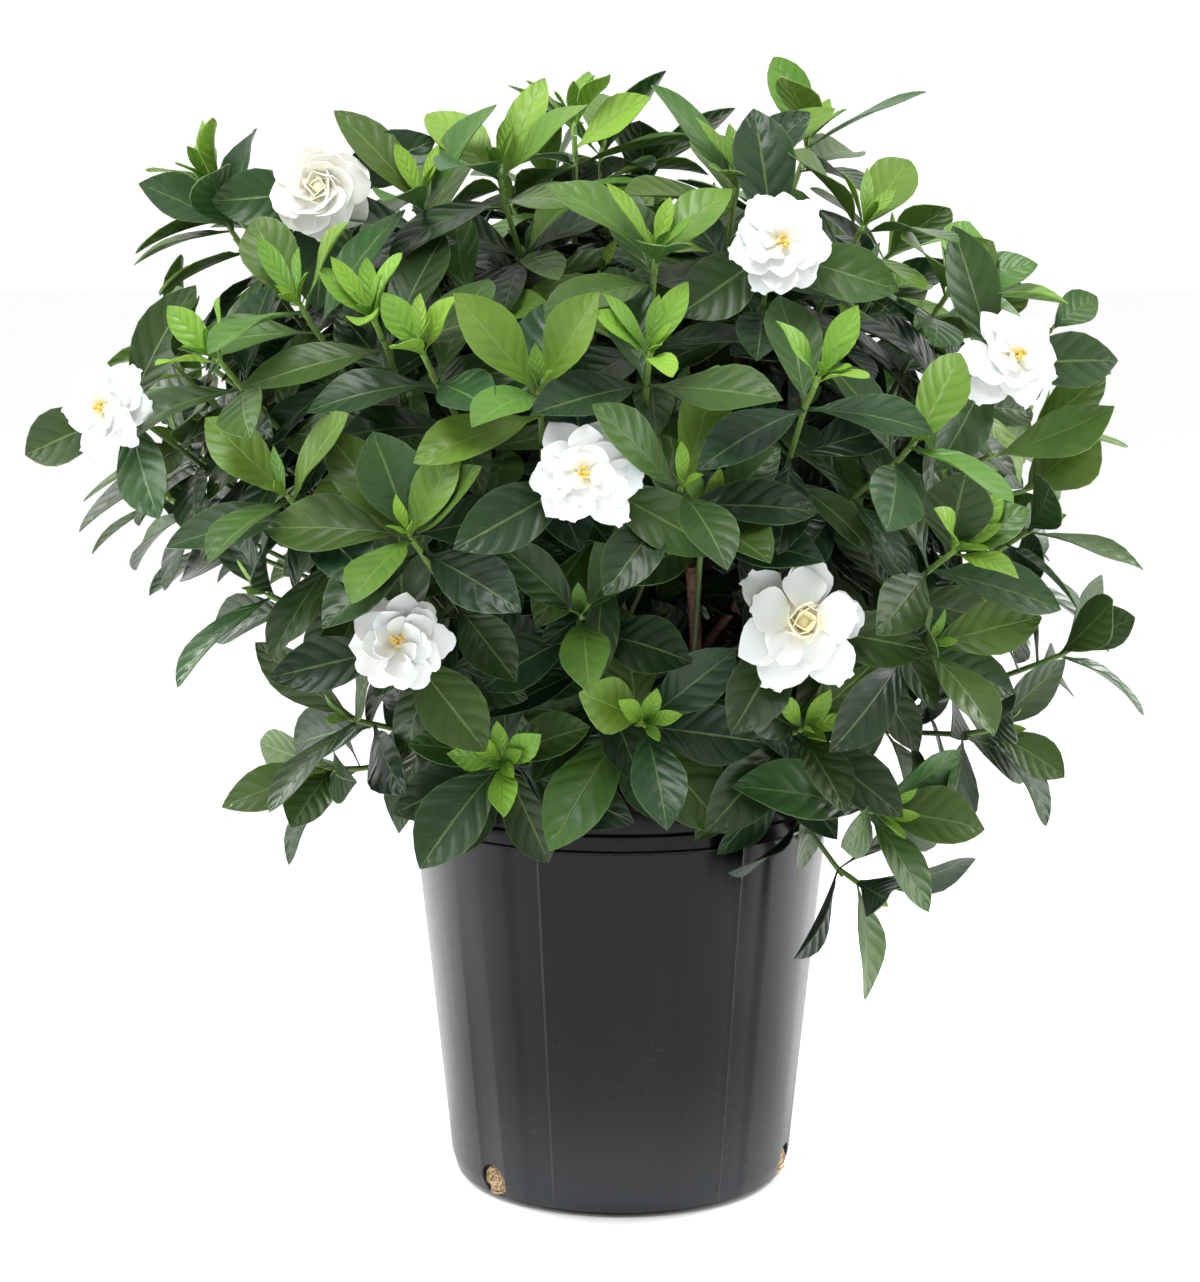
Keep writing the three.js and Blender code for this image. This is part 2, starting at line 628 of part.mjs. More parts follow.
// Finishes, by the start of a node's name
const FINISHES = {
  pot: { color: 0x2b2d30, roughness: 0.45 },
  potting_mix: { color: 0x4a3526, roughness: 0.95 },
  woody_stems: { color: 0x6a4a34, roughness: 0.8 },
  leafy_spray: { color: 0x2f6127, roughness: 0.35 },
  young_tip: { color: 0x8fbf3c, roughness: 0.35 },
  bloom_petals: { color: 0xf7f6f0, roughness: 0.55 },
  bloom_centre: { color: 0xd9a93a, roughness: 0.7 },
};
function toMesh(body, name) {
  const { vertProperties, triVerts } = body.getMesh();
  const geometry = new THREE.BufferGeometry();
  geometry.setAttribute("position", new THREE.BufferAttribute(new Float32Array(vertProperties), 3));
  geometry.setIndex(new THREE.BufferAttribute(new Uint32Array(triVerts), 1));
  geometry.computeVertexNormals();
  const finish = FINISHES[name] ?? FINISHES[name.replace(/_\d+$/, "")];
  const mesh = new THREE.Mesh(geometry, new THREE.MeshStandardMaterial({ ...finish, metalness: 0 }));
  mesh.name = name;
  return mesh;
}

const gardenia = new THREE.Group();
for (const [name, body] of makePlant()) gardenia.add(toMesh(body, name));
export default gardenia;
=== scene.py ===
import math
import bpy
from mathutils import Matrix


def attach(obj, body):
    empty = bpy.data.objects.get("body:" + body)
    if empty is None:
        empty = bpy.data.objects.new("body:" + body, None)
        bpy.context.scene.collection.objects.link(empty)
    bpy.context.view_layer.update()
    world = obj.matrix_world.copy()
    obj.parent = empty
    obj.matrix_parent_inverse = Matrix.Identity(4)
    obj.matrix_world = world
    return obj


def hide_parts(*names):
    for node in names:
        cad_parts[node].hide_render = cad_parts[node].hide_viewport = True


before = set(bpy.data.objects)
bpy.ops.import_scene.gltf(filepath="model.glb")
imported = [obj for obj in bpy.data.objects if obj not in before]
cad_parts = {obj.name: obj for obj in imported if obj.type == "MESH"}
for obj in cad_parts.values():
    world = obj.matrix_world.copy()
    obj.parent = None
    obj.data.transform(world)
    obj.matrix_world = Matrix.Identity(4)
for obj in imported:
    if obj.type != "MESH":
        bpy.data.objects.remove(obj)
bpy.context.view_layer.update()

# A gardenia shrub in a black nursery pot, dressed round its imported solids. The plant's
# lengths are in millimetres and become metres where a mesh is made. +Z is up and the
# camera stands at -Y. A turn is measured in degrees from the front towards +X.
from types import SimpleNamespace as Part

import bmesh
import bpy
import numpy as np
from mathutils import Vector, noise
from mathutils.bvhtree import BVHTree
from mathutils.kdtree import KDTree

MM = 0.001
DEGREE = math.pi / 180
FULL_TURN = 2 * math.pi

# Camera: placed by the pot's rim and foot in a frame of 1200 by 1282 pixels
CAMERA_PLACE = (0, -1.739, 0.583)
CAMERA_PITCH = 0.151
FOCAL_PIXELS = 3000
FRAME_HEIGHT = 1282
SENSOR = 36
SHIFT_PIXELS = 20.6

# Studio light
WORLD_LIGHT = 1.15
WORLD_DIM = 0.3

# Pot and potting mix, as in the solids
POT_HEIGHT = 242
RIM_RADIUS = 127
BAND_BOTTOM = POT_HEIGHT - 23
BAND_GROOVE = POT_HEIGHT - 13
SHOULDER_RADIUS = 122
CHAMFER_RADIUS = 101
CHAMFER_HEIGHT = 14
FOOT_RADIUS = 90
WALL = 2.2
FLOOR = 3.5
# Each flute's middle turn, and the side on which its edge is sharp
FLUTES = [(-27, 1), (39, -1), (111, -1), (186, 1), (261, 1)]
# How far a flute is sunk between two turns from its middle, towards its sharp edge
FLUTE_STEPS = [(-5.5, -4.5, 0.5), (-4.5, -3.5, 1.0), (-3.5, 4.5, 1.4), (4.5, 5.5, -0.5)]
FIRST_DRAIN = -47
DRAIN_COUNT = 3
DRAIN_RADIUS = 10
DRAIN_HEIGHT = 13
MIX_TOP = 214
TRUNK_RADIUS = 11
TRUNK_DEPTH = 36
SEAT = 0.3

# Wood and green shoots, as in the solids
CROWN_HEIGHT = 236
LIMB_REACH = 0.42
SHOOT_START = 0.56
LOWEST_SHOOT_START = 268
LIMB_RADIUS = 4.8
BRANCH_RADIUS = 3.1
BRANCH_TIP_RADIUS = 2.3
STALK_LENGTH = 11
STALK_RADIUS = 2.4
ARM_RADIUS = 1.3
ARM_TIP_RADIUS = 1.6
ARM_SIDES = 4
BUD_LENGTH = 5
STALK_OVERLAP = 4
UPWARD = 0.8
UPPER_BAND = [4, 1]
LOWER_BAND = [18, 15]
YOUNG_SHOOT = [0.3, 3, 5.5, 10]

# Leaves, as in the solids
LEAF_LENGTH = 70
LEAF_HALF_WIDTH = 14.5
UPPER_SIDES = [[0, 0], [1, 30], [3, -30]]
LOWER_SIDES = [[2, 0], [1, -30], [3, 30]]
LOWER_WHORL = Part(seed=1, band=1, sides=LOWER_SIDES, pitch=70, size=1)
UPPER_WHORL = Part(seed=0, band=3, sides=UPPER_SIDES, pitch=46, size=0.9)
YOUNG_WHORL = Part(seed=2, band=1, sides=UPPER_SIDES, pitch=30, size=0.6)
LENGTH_SPREAD = [0.86, 1.14]
WIDTH_SPREAD = [0.9, 1.1]
ANGLE_SPREAD = [-8, 8]
LEAF_ARCH = [10, 38]
LEAF_FOLD = [8, 22]
LEAF_WAVE = [0.8, 2]
# How much broader the rounded outline is than the solids' faceted one
LEAF_BREADTH = 1.12
LEAF_CUP = 0.35
# How far a packed leaf's tip may lie from the tip of its pose
TIP_MATCH = 0.08

# Seeds of the draws: the first two are the solids' own
REAR_SEED, SPIN_SEED = 400, 500
SHADE_SEED, SHOOT_SEED, SHELL_SEED = 901, 910, 920
FACING_SEED, FEATURE_SEED, BLOOM_SEED, MIX_SEED = 930, 931, 940, 950

# Blooms, as in the solids
BLOOM_TUBE = 12
CUP_HEIGHT = 12.4
PETAL_LENGTH = 27
PETAL_HALF_WIDTH = 11

# The canopy's outline, an ellipsoid: half its width, depth and height, and its centre
CANOPY_HALF = np.array([258, 224, 178], float)
CANOPY_CENTRE = np.array([-12, 0, 425], float)


def vec(*values):
    return np.array(values, float)


def unit(v):
    return v / np.linalg.norm(v)


def toward(a, b):
    return unit(b - a)


UP = vec(0, 0, 1)
CROWN = vec(0, 0, CROWN_HEIGHT)


def rosette(x, y, z):
    return Part(end=vec(x, y, z), is_young=False, bloom_size=0, axis=None)


def young_tip(x, y, z):
    return Part(end=vec(x, y, z), is_young=True, bloom_size=0, axis=None)


def bloom_at(x, y, z, facing, size=1):
    axis = unit(vec(*facing))
    return Part(end=vec(x, y, z) - axis * BLOOM_TUBE, is_young=False, bloom_size=size, axis=axis)


# Each front spray: the number of the limb that bears it, then its arms
FRONT_SPRAYS = [
    [
        0,
        young_tip(-221, -60, 578),
        rosette(-104, -140, 572),
        bloom_at(-158, -150, 582, [-0.05, -1, 0.1], 0.9),
    ],
    [0, young_tip(-124, -208, 512), rosette(-165, -180, 520), rosette(-214, -84, 560)],
    [1, young_tip(-205, -180, 489), rosette(-236, -130, 484)],
    [1, rosette(-240, -84, 440), bloom_at(-272, -162, 467, [-0.35, -1, 0.15], 0.86)],
    [1, rosette(-170, -208, 424), rosette(-188, -150, 366)],
    [2, rosette(-106, -238, 408), bloom_at(-114, -222, 352, [-0.05, -1, 0.3], 0.9)],
    [2, rosette(-146, -136, 296), rosette(-160, -104, 262), young_tip(-62, -172, 280)],
    [3, young_tip(-98, -226, 496), rosette(-41, -238, 480)],
    [4, rosette(-64, -140, 588), young_tip(-26, -30, 610)],
    [4, young_tip(14, -236, 495), rosette(18, -200, 546)],
    [4, rosette(104, -60, 606), rosette(62, -140, 584)],
    [5, bloom_at(82, -200, 554, [0.1, -1, 0.2], 0.9), rosette(128, -130, 560)],
    [5, rosette(176, -120, 526), bloom_at(206, -172, 495, [0.35, -1, 0.2], 0.9)],
    [5, young_tip(98, -220, 482), rosette(150, -206, 452)],
    [6, young_tip(170, -190, 392), rosette(160, -184, 344), rosette(226, -100, 396)],
    [6, rosette(250, -70, 322), rosette(204, -104, 284)],
    [7, rosette(136, -150, 248), rosette(96, -168, 296), rosette(134, -112, 198)],
    [3, bloom_at(-18, -262, 442, [0, -1, 0.2], 0.9), rosette(30, -240, 432)],
    [7, rosette(12, -200, 306), rosette(-20, -205, 362)],
    [7, bloom_at(93, -222, 362, [0.1, -1, 0.2], 1.1), rosette(44, -212, 412)],
]
# Each rear spray: the turn and elevation of its middle on the canopy, its limb, and
# whether it bears a bloom
REAR_SPRAYS = [
    [104, -14, 8, False],
    [150, -18, 8, True],
    [205, -20, 9, False],
    [254, -6, 9, True],
    [120, 28, 8, False],
    [178, 24, 10, True],
    [256, 30, 9, False],
    [180, 68, 10, False],
]
REAR_FAN = [[0, 14], [-16, -4], [16, -4], [0, -17]]
REAR_JITTER = 5


# Small tools: draws, lines and rings
def dice(*keys):
    """A repeatable stream of draws between 0 and 1, seeded by whole numbers."""
    full = 2147483647
    state = 5
    for key in keys:
        state = (state * 613 + key * 97 + 11) % full

    def roll():
        nonlocal state
        state = (state * 48271) % full
        return state / full

    return roll


def between(limits, roll):
    return limits[0] + (limits[1] - limits[0]) * roll()


def spoke_from(axis, angle):
    """The way out from an axis at an angle round it."""
    first = unit(np.cross(axis, vec(1, 0, 0) if abs(axis[2]) > 0.95 else UP))
    return first * math.cos(angle) + np.cross(axis, first) * math.sin(angle)


def turned(v, axis, degrees):
    c, s = math.cos(degrees * DEGREE), math.sin(degrees * DEGREE)
    return v * c + np.cross(axis, v) * s + axis * float(axis @ v) * (1 - c)


def rings_along(path, radii, sides, spin=0.0):
    """Rings of points round the joints of a bent line, carried on without a twist."""
    side = spoke_from(toward(path[0], path[1]), spin)
    rings = []
    for i, joint in enumerate(path):
        way = toward(path[max(i - 1, 0)], path[min(i + 1, len(path) - 1)])
        side = unit(side - way * float(side @ way))
        other = np.cross(way, side)
        angles = np.arange(sides) / sides * FULL_TURN
        circle = np.outer(np.cos(angles), side) + np.outer(np.sin(angles), other)
        rings.append(joint + radii[i] * circle)
    return np.array(rings)


def smooth_line(path, radii, step):
    """A bent line as a curve through its joints, with a point about every step."""
    path = [np.asarray(p, float) for p in path]
    ends = [path[0] * 2 - path[1], *path, path[-1] * 2 - path[-2]]
    points, widths = [], []
    for i in range(len(path) - 1):
        p0, p1, p2, p3 = ends[i : i + 4]
        count = max(2, int(np.linalg.norm(p2 - p1) / step))
        for k in range(count):
            t = k / count
            points.append(
                0.5
                * (
                    2 * p1
                    + (p2 - p0) * t
                    + (2 * p0 - 5 * p1 + 4 * p2 - p3) * t**2
                    + (3 * p1 - p0 - 3 * p2 + p3) * t**3
                )
            )
            widths.append(radii[i] + (radii[i + 1] - radii[i]) * t)
    return [*points, path[-1]], [*widths, radii[-1]]


# Materials: a wire carries a value that varies over a surface, and takes sums
class Wire:
    def __init__(self, recipe, socket):
        self.recipe, self.socket = recipe, socket

    def math(self, operation, *values, clamp=False):
        inputs = dict(enumerate(values))
        return self.recipe.node("ShaderNodeMath", inputs, operation=operation, use_clamp=clamp)

    def __add__(self, other):
        return self.math("ADD", self, other)

    def __sub__(self, other):
        return self.math("SUBTRACT", self, other)

    def __rsub__(self, other):
        return self.math("SUBTRACT", other, self)

    def __mul__(self, other):
        return self.math("MULTIPLY", self, other)

    def __truediv__(self, other):
        return self.math("DIVIDE", self, other)

    def __abs__(self):
        return self.math("ABSOLUTE", self)

    __radd__, __rmul__ = __add__, __mul__

    def clamped(self):
        return self.math("ADD", self, 0, clamp=True)

    def more_than(self, other):
        return self.math("GREATER_THAN", self, other)

    def ping_pong(self, size):
        return self.math("PINGPONG", self, size)

    def step(self, low, high):
        """A smooth rise from 0 to 1 between two values."""
        inputs = {0: self, 1: low, 2: high, 3: 0, 4: 1}
        return self.recipe.node("ShaderNodeMapRange", inputs, interpolation_type="SMOOTHSTEP")


class Recipe:
    """The nodes of a material or a world, added one at a time to its shader."""

    def __init__(self, owner, shader="Principled BSDF", **constants):
        owner.use_nodes = True
        self.owner, self.tree = owner, owner.node_tree
        self.shader = self.tree.nodes[shader]
        self.set(**constants)

    def node(self, kind, inputs=None, output=0, stops=None, **settings):
        made = self.tree.nodes.new(kind)
        for name, value in settings.items():
            setattr(made, name, value)
        if stops:
            ramp = made.color_ramp
            while len(ramp.elements) < len(stops):
                ramp.elements.new(1)
            for element, (place, colour) in zip(ramp.elements, stops):
                element.position, element.color = place, (*colour, 1)
        for socket, value in (inputs or {}).items():
            self.feed(made.inputs[socket], value)
        return Wire(self, made.outputs[output])

    def feed(self, socket, value):
        if isinstance(value, Wire):
            self.tree.links.new(value.socket, socket)
        elif isinstance(value, tuple) and socket.type == "RGBA":
            socket.default_value = (*value, 1)
        else:
            socket.default_value = value

    def set(self, **values):
        for socket, value in values.items():
            self.feed(self.shader.inputs[socket.replace("_", " ")], value)
        return self.owner

    def finish(self, colour, roughness, height, distance, strength):
        """Sets the shader's colour, its roughness and its bumps."""
        bump = self.node("ShaderNodeBump", {0: strength, 1: distance, "Height": height})
        return self.set(Base_Color=colour, Roughness=roughness, Normal=bump)

    def split(self, vector):
        parts = self.tree.nodes.new("ShaderNodeSeparateXYZ")
        self.feed(parts.inputs[0], vector)
        return [Wire(self, output) for output in parts.outputs]

    def uv(self, name):
        return self.split(self.node("ShaderNodeUVMap", uv_map=name))[:2]

    def mark(self, name):
        return self.node("ShaderNodeAttribute", attribute_name=name, output=2)

    def noise(self, scale, detail, roughness=0.5, stretch=(1, 1, 1)):
        """A noise over Object coordinates in metres, stretched along the axes."""
        where = self.node("ShaderNodeMapping", {0: self.coordinates("Object"), 3: stretch})
        return self.node("ShaderNodeTexNoise", {0: where, 2: scale, 3: detail, 4: roughness})

    def coordinates(self, kind):
        return self.node("ShaderNodeTexCoord", output=kind)

    def ramp(self, value, *stops):
        return self.node("ShaderNodeValToRGB", {0: value}, stops=stops)

    def mix(self, share, first, second, blend="MIX"):
        inputs = {0: share, 6: first, 7: second}
        return self.node("ShaderNodeMix", inputs, 2, data_type="RGBA", blend_type=blend)


def material_recipe(name, **constants):
    return Recipe(bpy.data.materials.new(name), **constants)


VEIN_PAIRS = 8.5
VEIN_SLANT, VEIN_CURVE, VEIN_STAGGER = 0.13, 0.05, 0.4


def leaf_veins(recipe):
    """How far out a point of a blade is, and how near its side veins and its midrib."""
    u, v = recipe.uv("blade")
    across = abs(u - 0.5) * 2
    rise = v - across * VEIN_SLANT - across * across * VEIN_CURVE
    order = rise * VEIN_PAIRS + u.more_than(0.5) * VEIN_STAGGER
    gap = order.ping_pong(0.5) * 2
    midrib = 1 - across.step(0.01, 0.065)
    return across, gap, midrib


def leaf_top_finish():
    recipe = material_recipe("leaf_upper", IOR=1.45, Specular_IOR_Level=0.36)
    across, gap, midrib = leaf_veins(recipe)
    tone, shade = recipe.mark("tone"), recipe.mark("shade")
    cloud = recipe.noise(45, 3)
    value = tone + (cloud - 0.5) * 0.14 + shade * 0.05
    cool = recipe.ramp(
        value,
        (0.0, (0.0065, 0.019, 0.0095)),
        (0.3, (0.015, 0.046, 0.018)),
        (0.5, (0.034, 0.098, 0.025)),
        (0.72, (0.090, 0.215, 0.034)),
        (1.0, (0.21, 0.42, 0.045)),
    )
    warm = recipe.ramp(
        value,
        (0.0, (0.010, 0.022, 0.006)),
        (0.3, (0.031, 0.062, 0.010)),
        (0.5, (0.070, 0.130, 0.016)),
        (0.72, (0.150, 0.265, 0.026)),
        (1.0, (0.27, 0.48, 0.05)),
    )
    colour = recipe.mix((shade * 0.5 + cloud * 0.4 + 0.3).clamped(), cool, warm)
    vein = (1 - gap.step(0.0, 0.12)) * (1 - across * 0.6)
    # Painted shade in the impressed side veins: the colour is darkened towards grey-green along
    # each vein's groove, more on dark leaves
    crease = (1 - gap.step(0.05, 0.6)) * (1 - across * 0.5)
    colour = recipe.mix(crease * (0.36 - tone * 0.3), colour, (0.45, 0.52, 0.5), "MULTIPLY")
    paler = recipe.mix(0.5, colour, (0.20, 0.34, 0.10))
    colour = recipe.mix(vein * 0.22, colour, paler)
    colour = recipe.mix(midrib * 0.6, colour, recipe.mix(0.45, colour, (0.28, 0.42, 0.13)))
    rim = across.step(0.93, 1.0)
    colour = recipe.mix(rim * 0.3, colour, recipe.mix(0.5, colour, (0.22, 0.36, 0.12)))
    pillow = gap.step(0.0, 0.8)
    fine = recipe.noise(900, 2)
    dent = recipe.noise(120, 2)
    height = pillow * (1 - midrib) * 0.8 + dent * 0.9 + fine * 0.05 - midrib * 0.25
    return recipe.finish(colour, 0.26 + cloud * 0.2 + shade * 0.04, height, 0.0006, 0.65)


def leaf_under_finish():
    recipe = material_recipe("leaf_under", Specular_IOR_Level=0.25)
    _, gap, midrib = leaf_veins(recipe)
    tone = recipe.mark("tone")
    # The lower face is a pale olive: partly its own colour, and partly painted light that shines
    # through the leaf
    colour = recipe.ramp(
        tone + (recipe.noise(50, 2) - 0.5) * 0.12,
        (0.0, (0.045, 0.078, 0.028)),
        (0.5, (0.125, 0.195, 0.046)),
        (1.0, (0.34, 0.49, 0.08)),
    )
    vein = 1 - gap.step(0.0, 0.2)
    colour = recipe.mix(vein * 0.4, colour, (0.22, 0.33, 0.12))
    colour = recipe.mix(midrib * 0.8, colour, (0.30, 0.42, 0.17))
    return recipe.finish(colour, 0.52 + vein * 0.06, vein * 0.6 + midrib, 0.0006, 0.8)


def shoot_finish():
    recipe = material_recipe("green_shoot")
    tone = recipe.mark("tone")
    patch = recipe.noise(120, 3)
    colour = recipe.ramp(
        tone + (patch - 0.5) * 0.3,
        (0.0, (0.055, 0.050, 0.020)),
        (0.4, (0.060, 0.110, 0.022)),
        (1.0, (0.20, 0.36, 0.06)),
    )
    ribs = recipe.noise(900, 2, stretch=(1, 1, 0.25))
    return recipe.finish(colour, 0.42 + patch * 0.15, ribs, 0.0003, 0.5)


RING_PITCH = 14


def bark_finish():
    recipe = material_recipe("brown_bark")
    _, v = recipe.uv("stem")
    patch = recipe.noise(90, 4, 0.6)
    streak = recipe.noise(500, 3, stretch=(1, 1, 0.2))
    colour = recipe.ramp(
        patch * 0.7 + streak * 0.3,
        (0.25, (0.045, 0.020, 0.012)),
        (0.5, (0.135, 0.062, 0.034)),
        (0.75, (0.26, 0.16, 0.10)),
    )
    ring = 1 - ((v / RING_PITCH + patch * 0.6).ping_pong(0.5) * 2).step(0.0, 0.14)
    colour = recipe.mix(ring * 0.6, colour, (0.035, 0.020, 0.014))
    height = streak * 0.7 + ring * 0.6
    return recipe.finish(colour, 0.72 + streak * 0.15, height, 0.0006, 0.9)


def petal_finish():
    """White, and cream towards the petal's foot and where its tone says so."""
    recipe = material_recipe("white_petal", Subsurface_Weight=0.2, Subsurface_Scale=0.003)
    u, v = recipe.uv("blade")
    across = abs(u - 0.5) * 2
    soft = recipe.noise(60, 2)
    base = 1 - v.step(0.05, 0.42)
    colour = recipe.mix(soft * 0.25, (0.925, 0.93, 0.925), (0.84, 0.85, 0.85))
    colour = recipe.mix(recipe.mark("tone"), colour, (0.93, 0.86, 0.56))
    colour = recipe.mix(base * 0.4, colour, (0.88, 0.77, 0.38))
    edge = across.step(0.8, 1.0) * v.step(0.3, 0.8)
    colour = recipe.mix(edge * 0.08, colour, (0.84, 0.80, 0.66))
    along = {0: recipe.node("ShaderNodeUVMap", uv_map="blade"), 1: 5, 2: 2.5, 3: 2, 4: 0.6}
    ribs = recipe.node("ShaderNodeTexWave", along, bands_direction="X")
    height = ribs * (1 - v * 0.4) * 0.2 + soft
    return recipe.finish(colour, 0.5 + soft * 0.12, height, 0.0003, 0.35)


def anther_finish():
    recipe = material_recipe("pollen_yellow")
    patch = recipe.noise(500, 3)
    colour = recipe.ramp(
        patch,
        (0.3, (0.42, 0.24, 0.03)),
        (0.5, (0.70, 0.48, 0.08)),
        (0.75, (0.88, 0.72, 0.24)),
    )
    return recipe.finish(colour, 0.7 + patch * 0.1, recipe.noise(3000, 2), 0.0003, 0.8)


def plastic_finish():
    recipe = material_recipe("black_plastic", Specular_IOR_Level=0.18)
    height = recipe.split(recipe.coordinates("Object"))[2]
    streak = recipe.noise(42, 4, 0.6, stretch=(1, 1, 0.08))
    patch = recipe.noise(16, 3)
    dust = recipe.noise(700, 2)
    low = 1 - height.step(0.0, 0.13)
    colour = recipe.ramp(
        streak * 0.6 + patch * 0.4,
        (0.35, (0.0030, 0.0032, 0.0036)),
        (0.65, (0.0066, 0.0070, 0.0078)),
    )
    colour = recipe.mix(low * low * 0.8, colour, (0.040, 0.044, 0.048))
    speck = dust.step(0.68, 0.76) * patch.step(0.45, 0.6)
    colour = recipe.mix(speck * 0.3, colour, (0.16, 0.14, 0.12))
    relief = recipe.noise(1500, 2) * 0.5 + streak * 2
    return recipe.finish(colour, 0.20 + streak * 0.12 + speck * 0.3, relief, 0.0002, 0.5)


def mix_finish():
    recipe = material_recipe("bark_mix")
    patch = recipe.noise(130, 4, 0.65)
    grain = recipe.noise(900, 3)
    colour = recipe.ramp(
        patch * 0.6 + grain * 0.4,
        (0.3, (0.020, 0.011, 0.007)),
        (0.5, (0.075, 0.043, 0.024)),
        (0.7, (0.22, 0.145, 0.085)),
    )
    return recipe.finish(colour, 0.9 - patch * 0.1, patch + grain * 0.5, 0.0015, 1.0)


def root_finish():
    recipe = material_recipe("straw_roots")
    patch = recipe.noise(400, 3)
    colour = recipe.ramp(patch, (0.3, (0.26, 0.165, 0.085)), (0.7, (0.60, 0.45, 0.28)))
    return recipe.finish(colour, 0.85 - patch * 0.1, patch, 0.0004, 0.7)


# Pieces: what is repeated is modelled once, and its copies are gathered in one mesh
def dress(piece, materials, replaces=()):
    """Gives a finished piece its materials and its body, and hides the solids that it replaces."""
    piece.data.materials.clear()
    for material in materials:
        piece.data.materials.append(material)
    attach(piece, "root")
    if replaces:
        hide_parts(*replaces)
    return piece


class Pattern:
    """The parts of a modelled mesh that its copies share."""

    def __init__(self, piece, size):
        mesh = piece.data
        points = self.read(mesh.vertices, "co", float, 3).reshape(-1, 3)
        self.points = points / np.array(size, float)
        self.corners = self.read(mesh.loops, "vertex_index", np.int32)
        self.starts = self.read(mesh.polygons, "loop_start", np.int32)
        self.materials = self.read(mesh.polygons, "material_index", np.int32)
        self.uv = self.read(mesh.uv_layers[0].data, "uv", np.float32, 2)
        bpy.data.objects.remove(piece)

    @staticmethod
    def read(items, name, kind, width=1):
        values = np.zeros(len(items) * width, kind)
        items.foreach_get(name, values)
        return values


class Heap:
    """Copies that are gathered for one piece."""

    def __init__(self, uv_name):
        self.uv_name = uv_name
        self.points, self.corners, self.starts, self.materials, self.uv = [], [], [], [], []
        self.marks = {"tone": [], "shade": []}
        self.point_count = self.corner_count = 0

    def add(self, points, corners, starts, materials, uv, tone=0.5, shade=0.0):
        self.points.append(points)
        self.corners.append(corners + self.point_count)
        self.starts.append(starts + self.corner_count)
        self.materials.append(materials)
        self.uv.append(uv)
        for name, value in (("tone", tone), ("shade", shade)):
            self.marks[name].append(np.broadcast_to(np.asarray(value, np.float32), len(points)))
        self.point_count += len(points)
        self.corner_count += len(corners)

    def add_copy(self, pattern, points, tone=0.5, shade=0.0):
        parts = (pattern.corners, pattern.starts, pattern.materials, pattern.uv)
        self.add(points, *parts, tone, shade)

    def add_tube(self, path, radii, sides, tone=0.5, tip=None, step=4.0):
        """A round stem along a bent line, closed at both ends. Its tone may run along it."""
        line, widths = smooth_line(path, radii, step)
        rings = rings_along(line, widths, sides)
        count = len(rings)
        points = rings.reshape(-1, 3)
        shares = np.arange(count) / (count - 1)
        tones = np.repeat(np.interp(shares, [0, 1], np.broadcast_to(tone, 2)), sides)
        gaps = np.linalg.norm(np.diff(np.array(line), axis=0), axis=1)
        reach = np.concatenate([[0], np.cumsum(gaps)])
        corners, starts, uv = [], [], []
        for i in range(count - 1):
            low, high = reach[i], reach[i + 1]
            for k in range(sides):
                n = (k + 1) % sides
                left, right = k / sides, (k + 1) / sides
                starts.append(len(corners))
                corners += [i * sides + k, i * sides + n, (i + 1) * sides + n, (i + 1) * sides + k]
                uv += [left, low, right, low, right, high, left, high]
        starts.append(len(corners))
        corners += list(range(sides))[::-1]
        uv += [0.5, 0] * sides
        last = (count - 1) * sides
        if tip is None:
            starts.append(len(corners))
            corners += [last + k for k in range(sides)]
            uv += [0.5, reach[-1]] * sides
        else:
            points = np.vstack([points, tip])
            tones = np.append(tones, tones[-1])
            for k in range(sides):
                starts.append(len(corners))
                corners += [last + k, last + (k + 1) % sides, len(points) - 1]
                uv += [0.5, reach[-1]] * 3
        self.add(
            points,
            np.array(corners, np.int32),
            np.array(starts, np.int32),
            np.zeros(len(starts), np.int32),
            np.array(uv, np.float32),
            tones,
        )

    def build(self, name, crease=55):
        mesh = bpy.data.meshes.new(name)
        points = np.concatenate(self.points) * MM
        corners = np.concatenate(self.corners)
        starts = np.concatenate(self.starts)
        mesh.vertices.add(len(points))
        mesh.loops.add(len(corners))
        mesh.polygons.add(len(starts))
        mesh.vertices.foreach_set("co", points.astype(np.float32).ravel())
        mesh.loops.foreach_set("vertex_index", corners)
        mesh.polygons.foreach_set("loop_start", starts)
        mesh.polygons.foreach_set("material_index", np.concatenate(self.materials))
        layer = mesh.uv_layers.new(name=self.uv_name)
        mesh.update(calc_edges=True)
        layer.data.foreach_set("uv", np.concatenate(self.uv))
        for mark, values in self.marks.items():
            attribute = mesh.attributes.new(mark, "FLOAT", "POINT")
            attribute.data.foreach_set("value", np.concatenate(values).astype(np.float32))
        mesh.validate()
        piece = bpy.data.objects.new(name, mesh)
        bpy.context.scene.collection.objects.link(piece)
        smooth(piece, crease)
        return piece


def alone(piece):
    bpy.ops.object.select_all(action="DESELECT")
    piece.select_set(True)
    bpy.context.view_layer.objects.active = piece
    return piece


def smooth(piece, crease):
    alone(piece)
    bpy.ops.object.shade_smooth_by_angle(angle=crease * DEGREE)


def apply_modifier(piece, kind, **settings):
    alone(piece)
    modifier = piece.modifiers.new(kind.lower(), kind)
    for name, value in settings.items():
        setattr(modifier, name, value)
    bpy.ops.object.modifier_apply(modifier=modifier.name)


def pick(piece, test, kind="VERT"):
    """Selects the points or faces, in edit mode, whose place passes the test."""
    bpy.ops.mesh.select_mode(type=kind)
    bpy.ops.mesh.select_all(action="DESELECT")
    body = bmesh.from_edit_mesh(piece.data)
    for item in body.verts if kind == "VERT" else body.faces:
        item.select_set(test(item.co if kind == "VERT" else item.calc_center_median()))
    body.select_flush_mode()
    bmesh.update_edit_mesh(piece.data)


# How far the rows that are done are set aside while the others are drawn in
ROWS_ASIDE = 1000


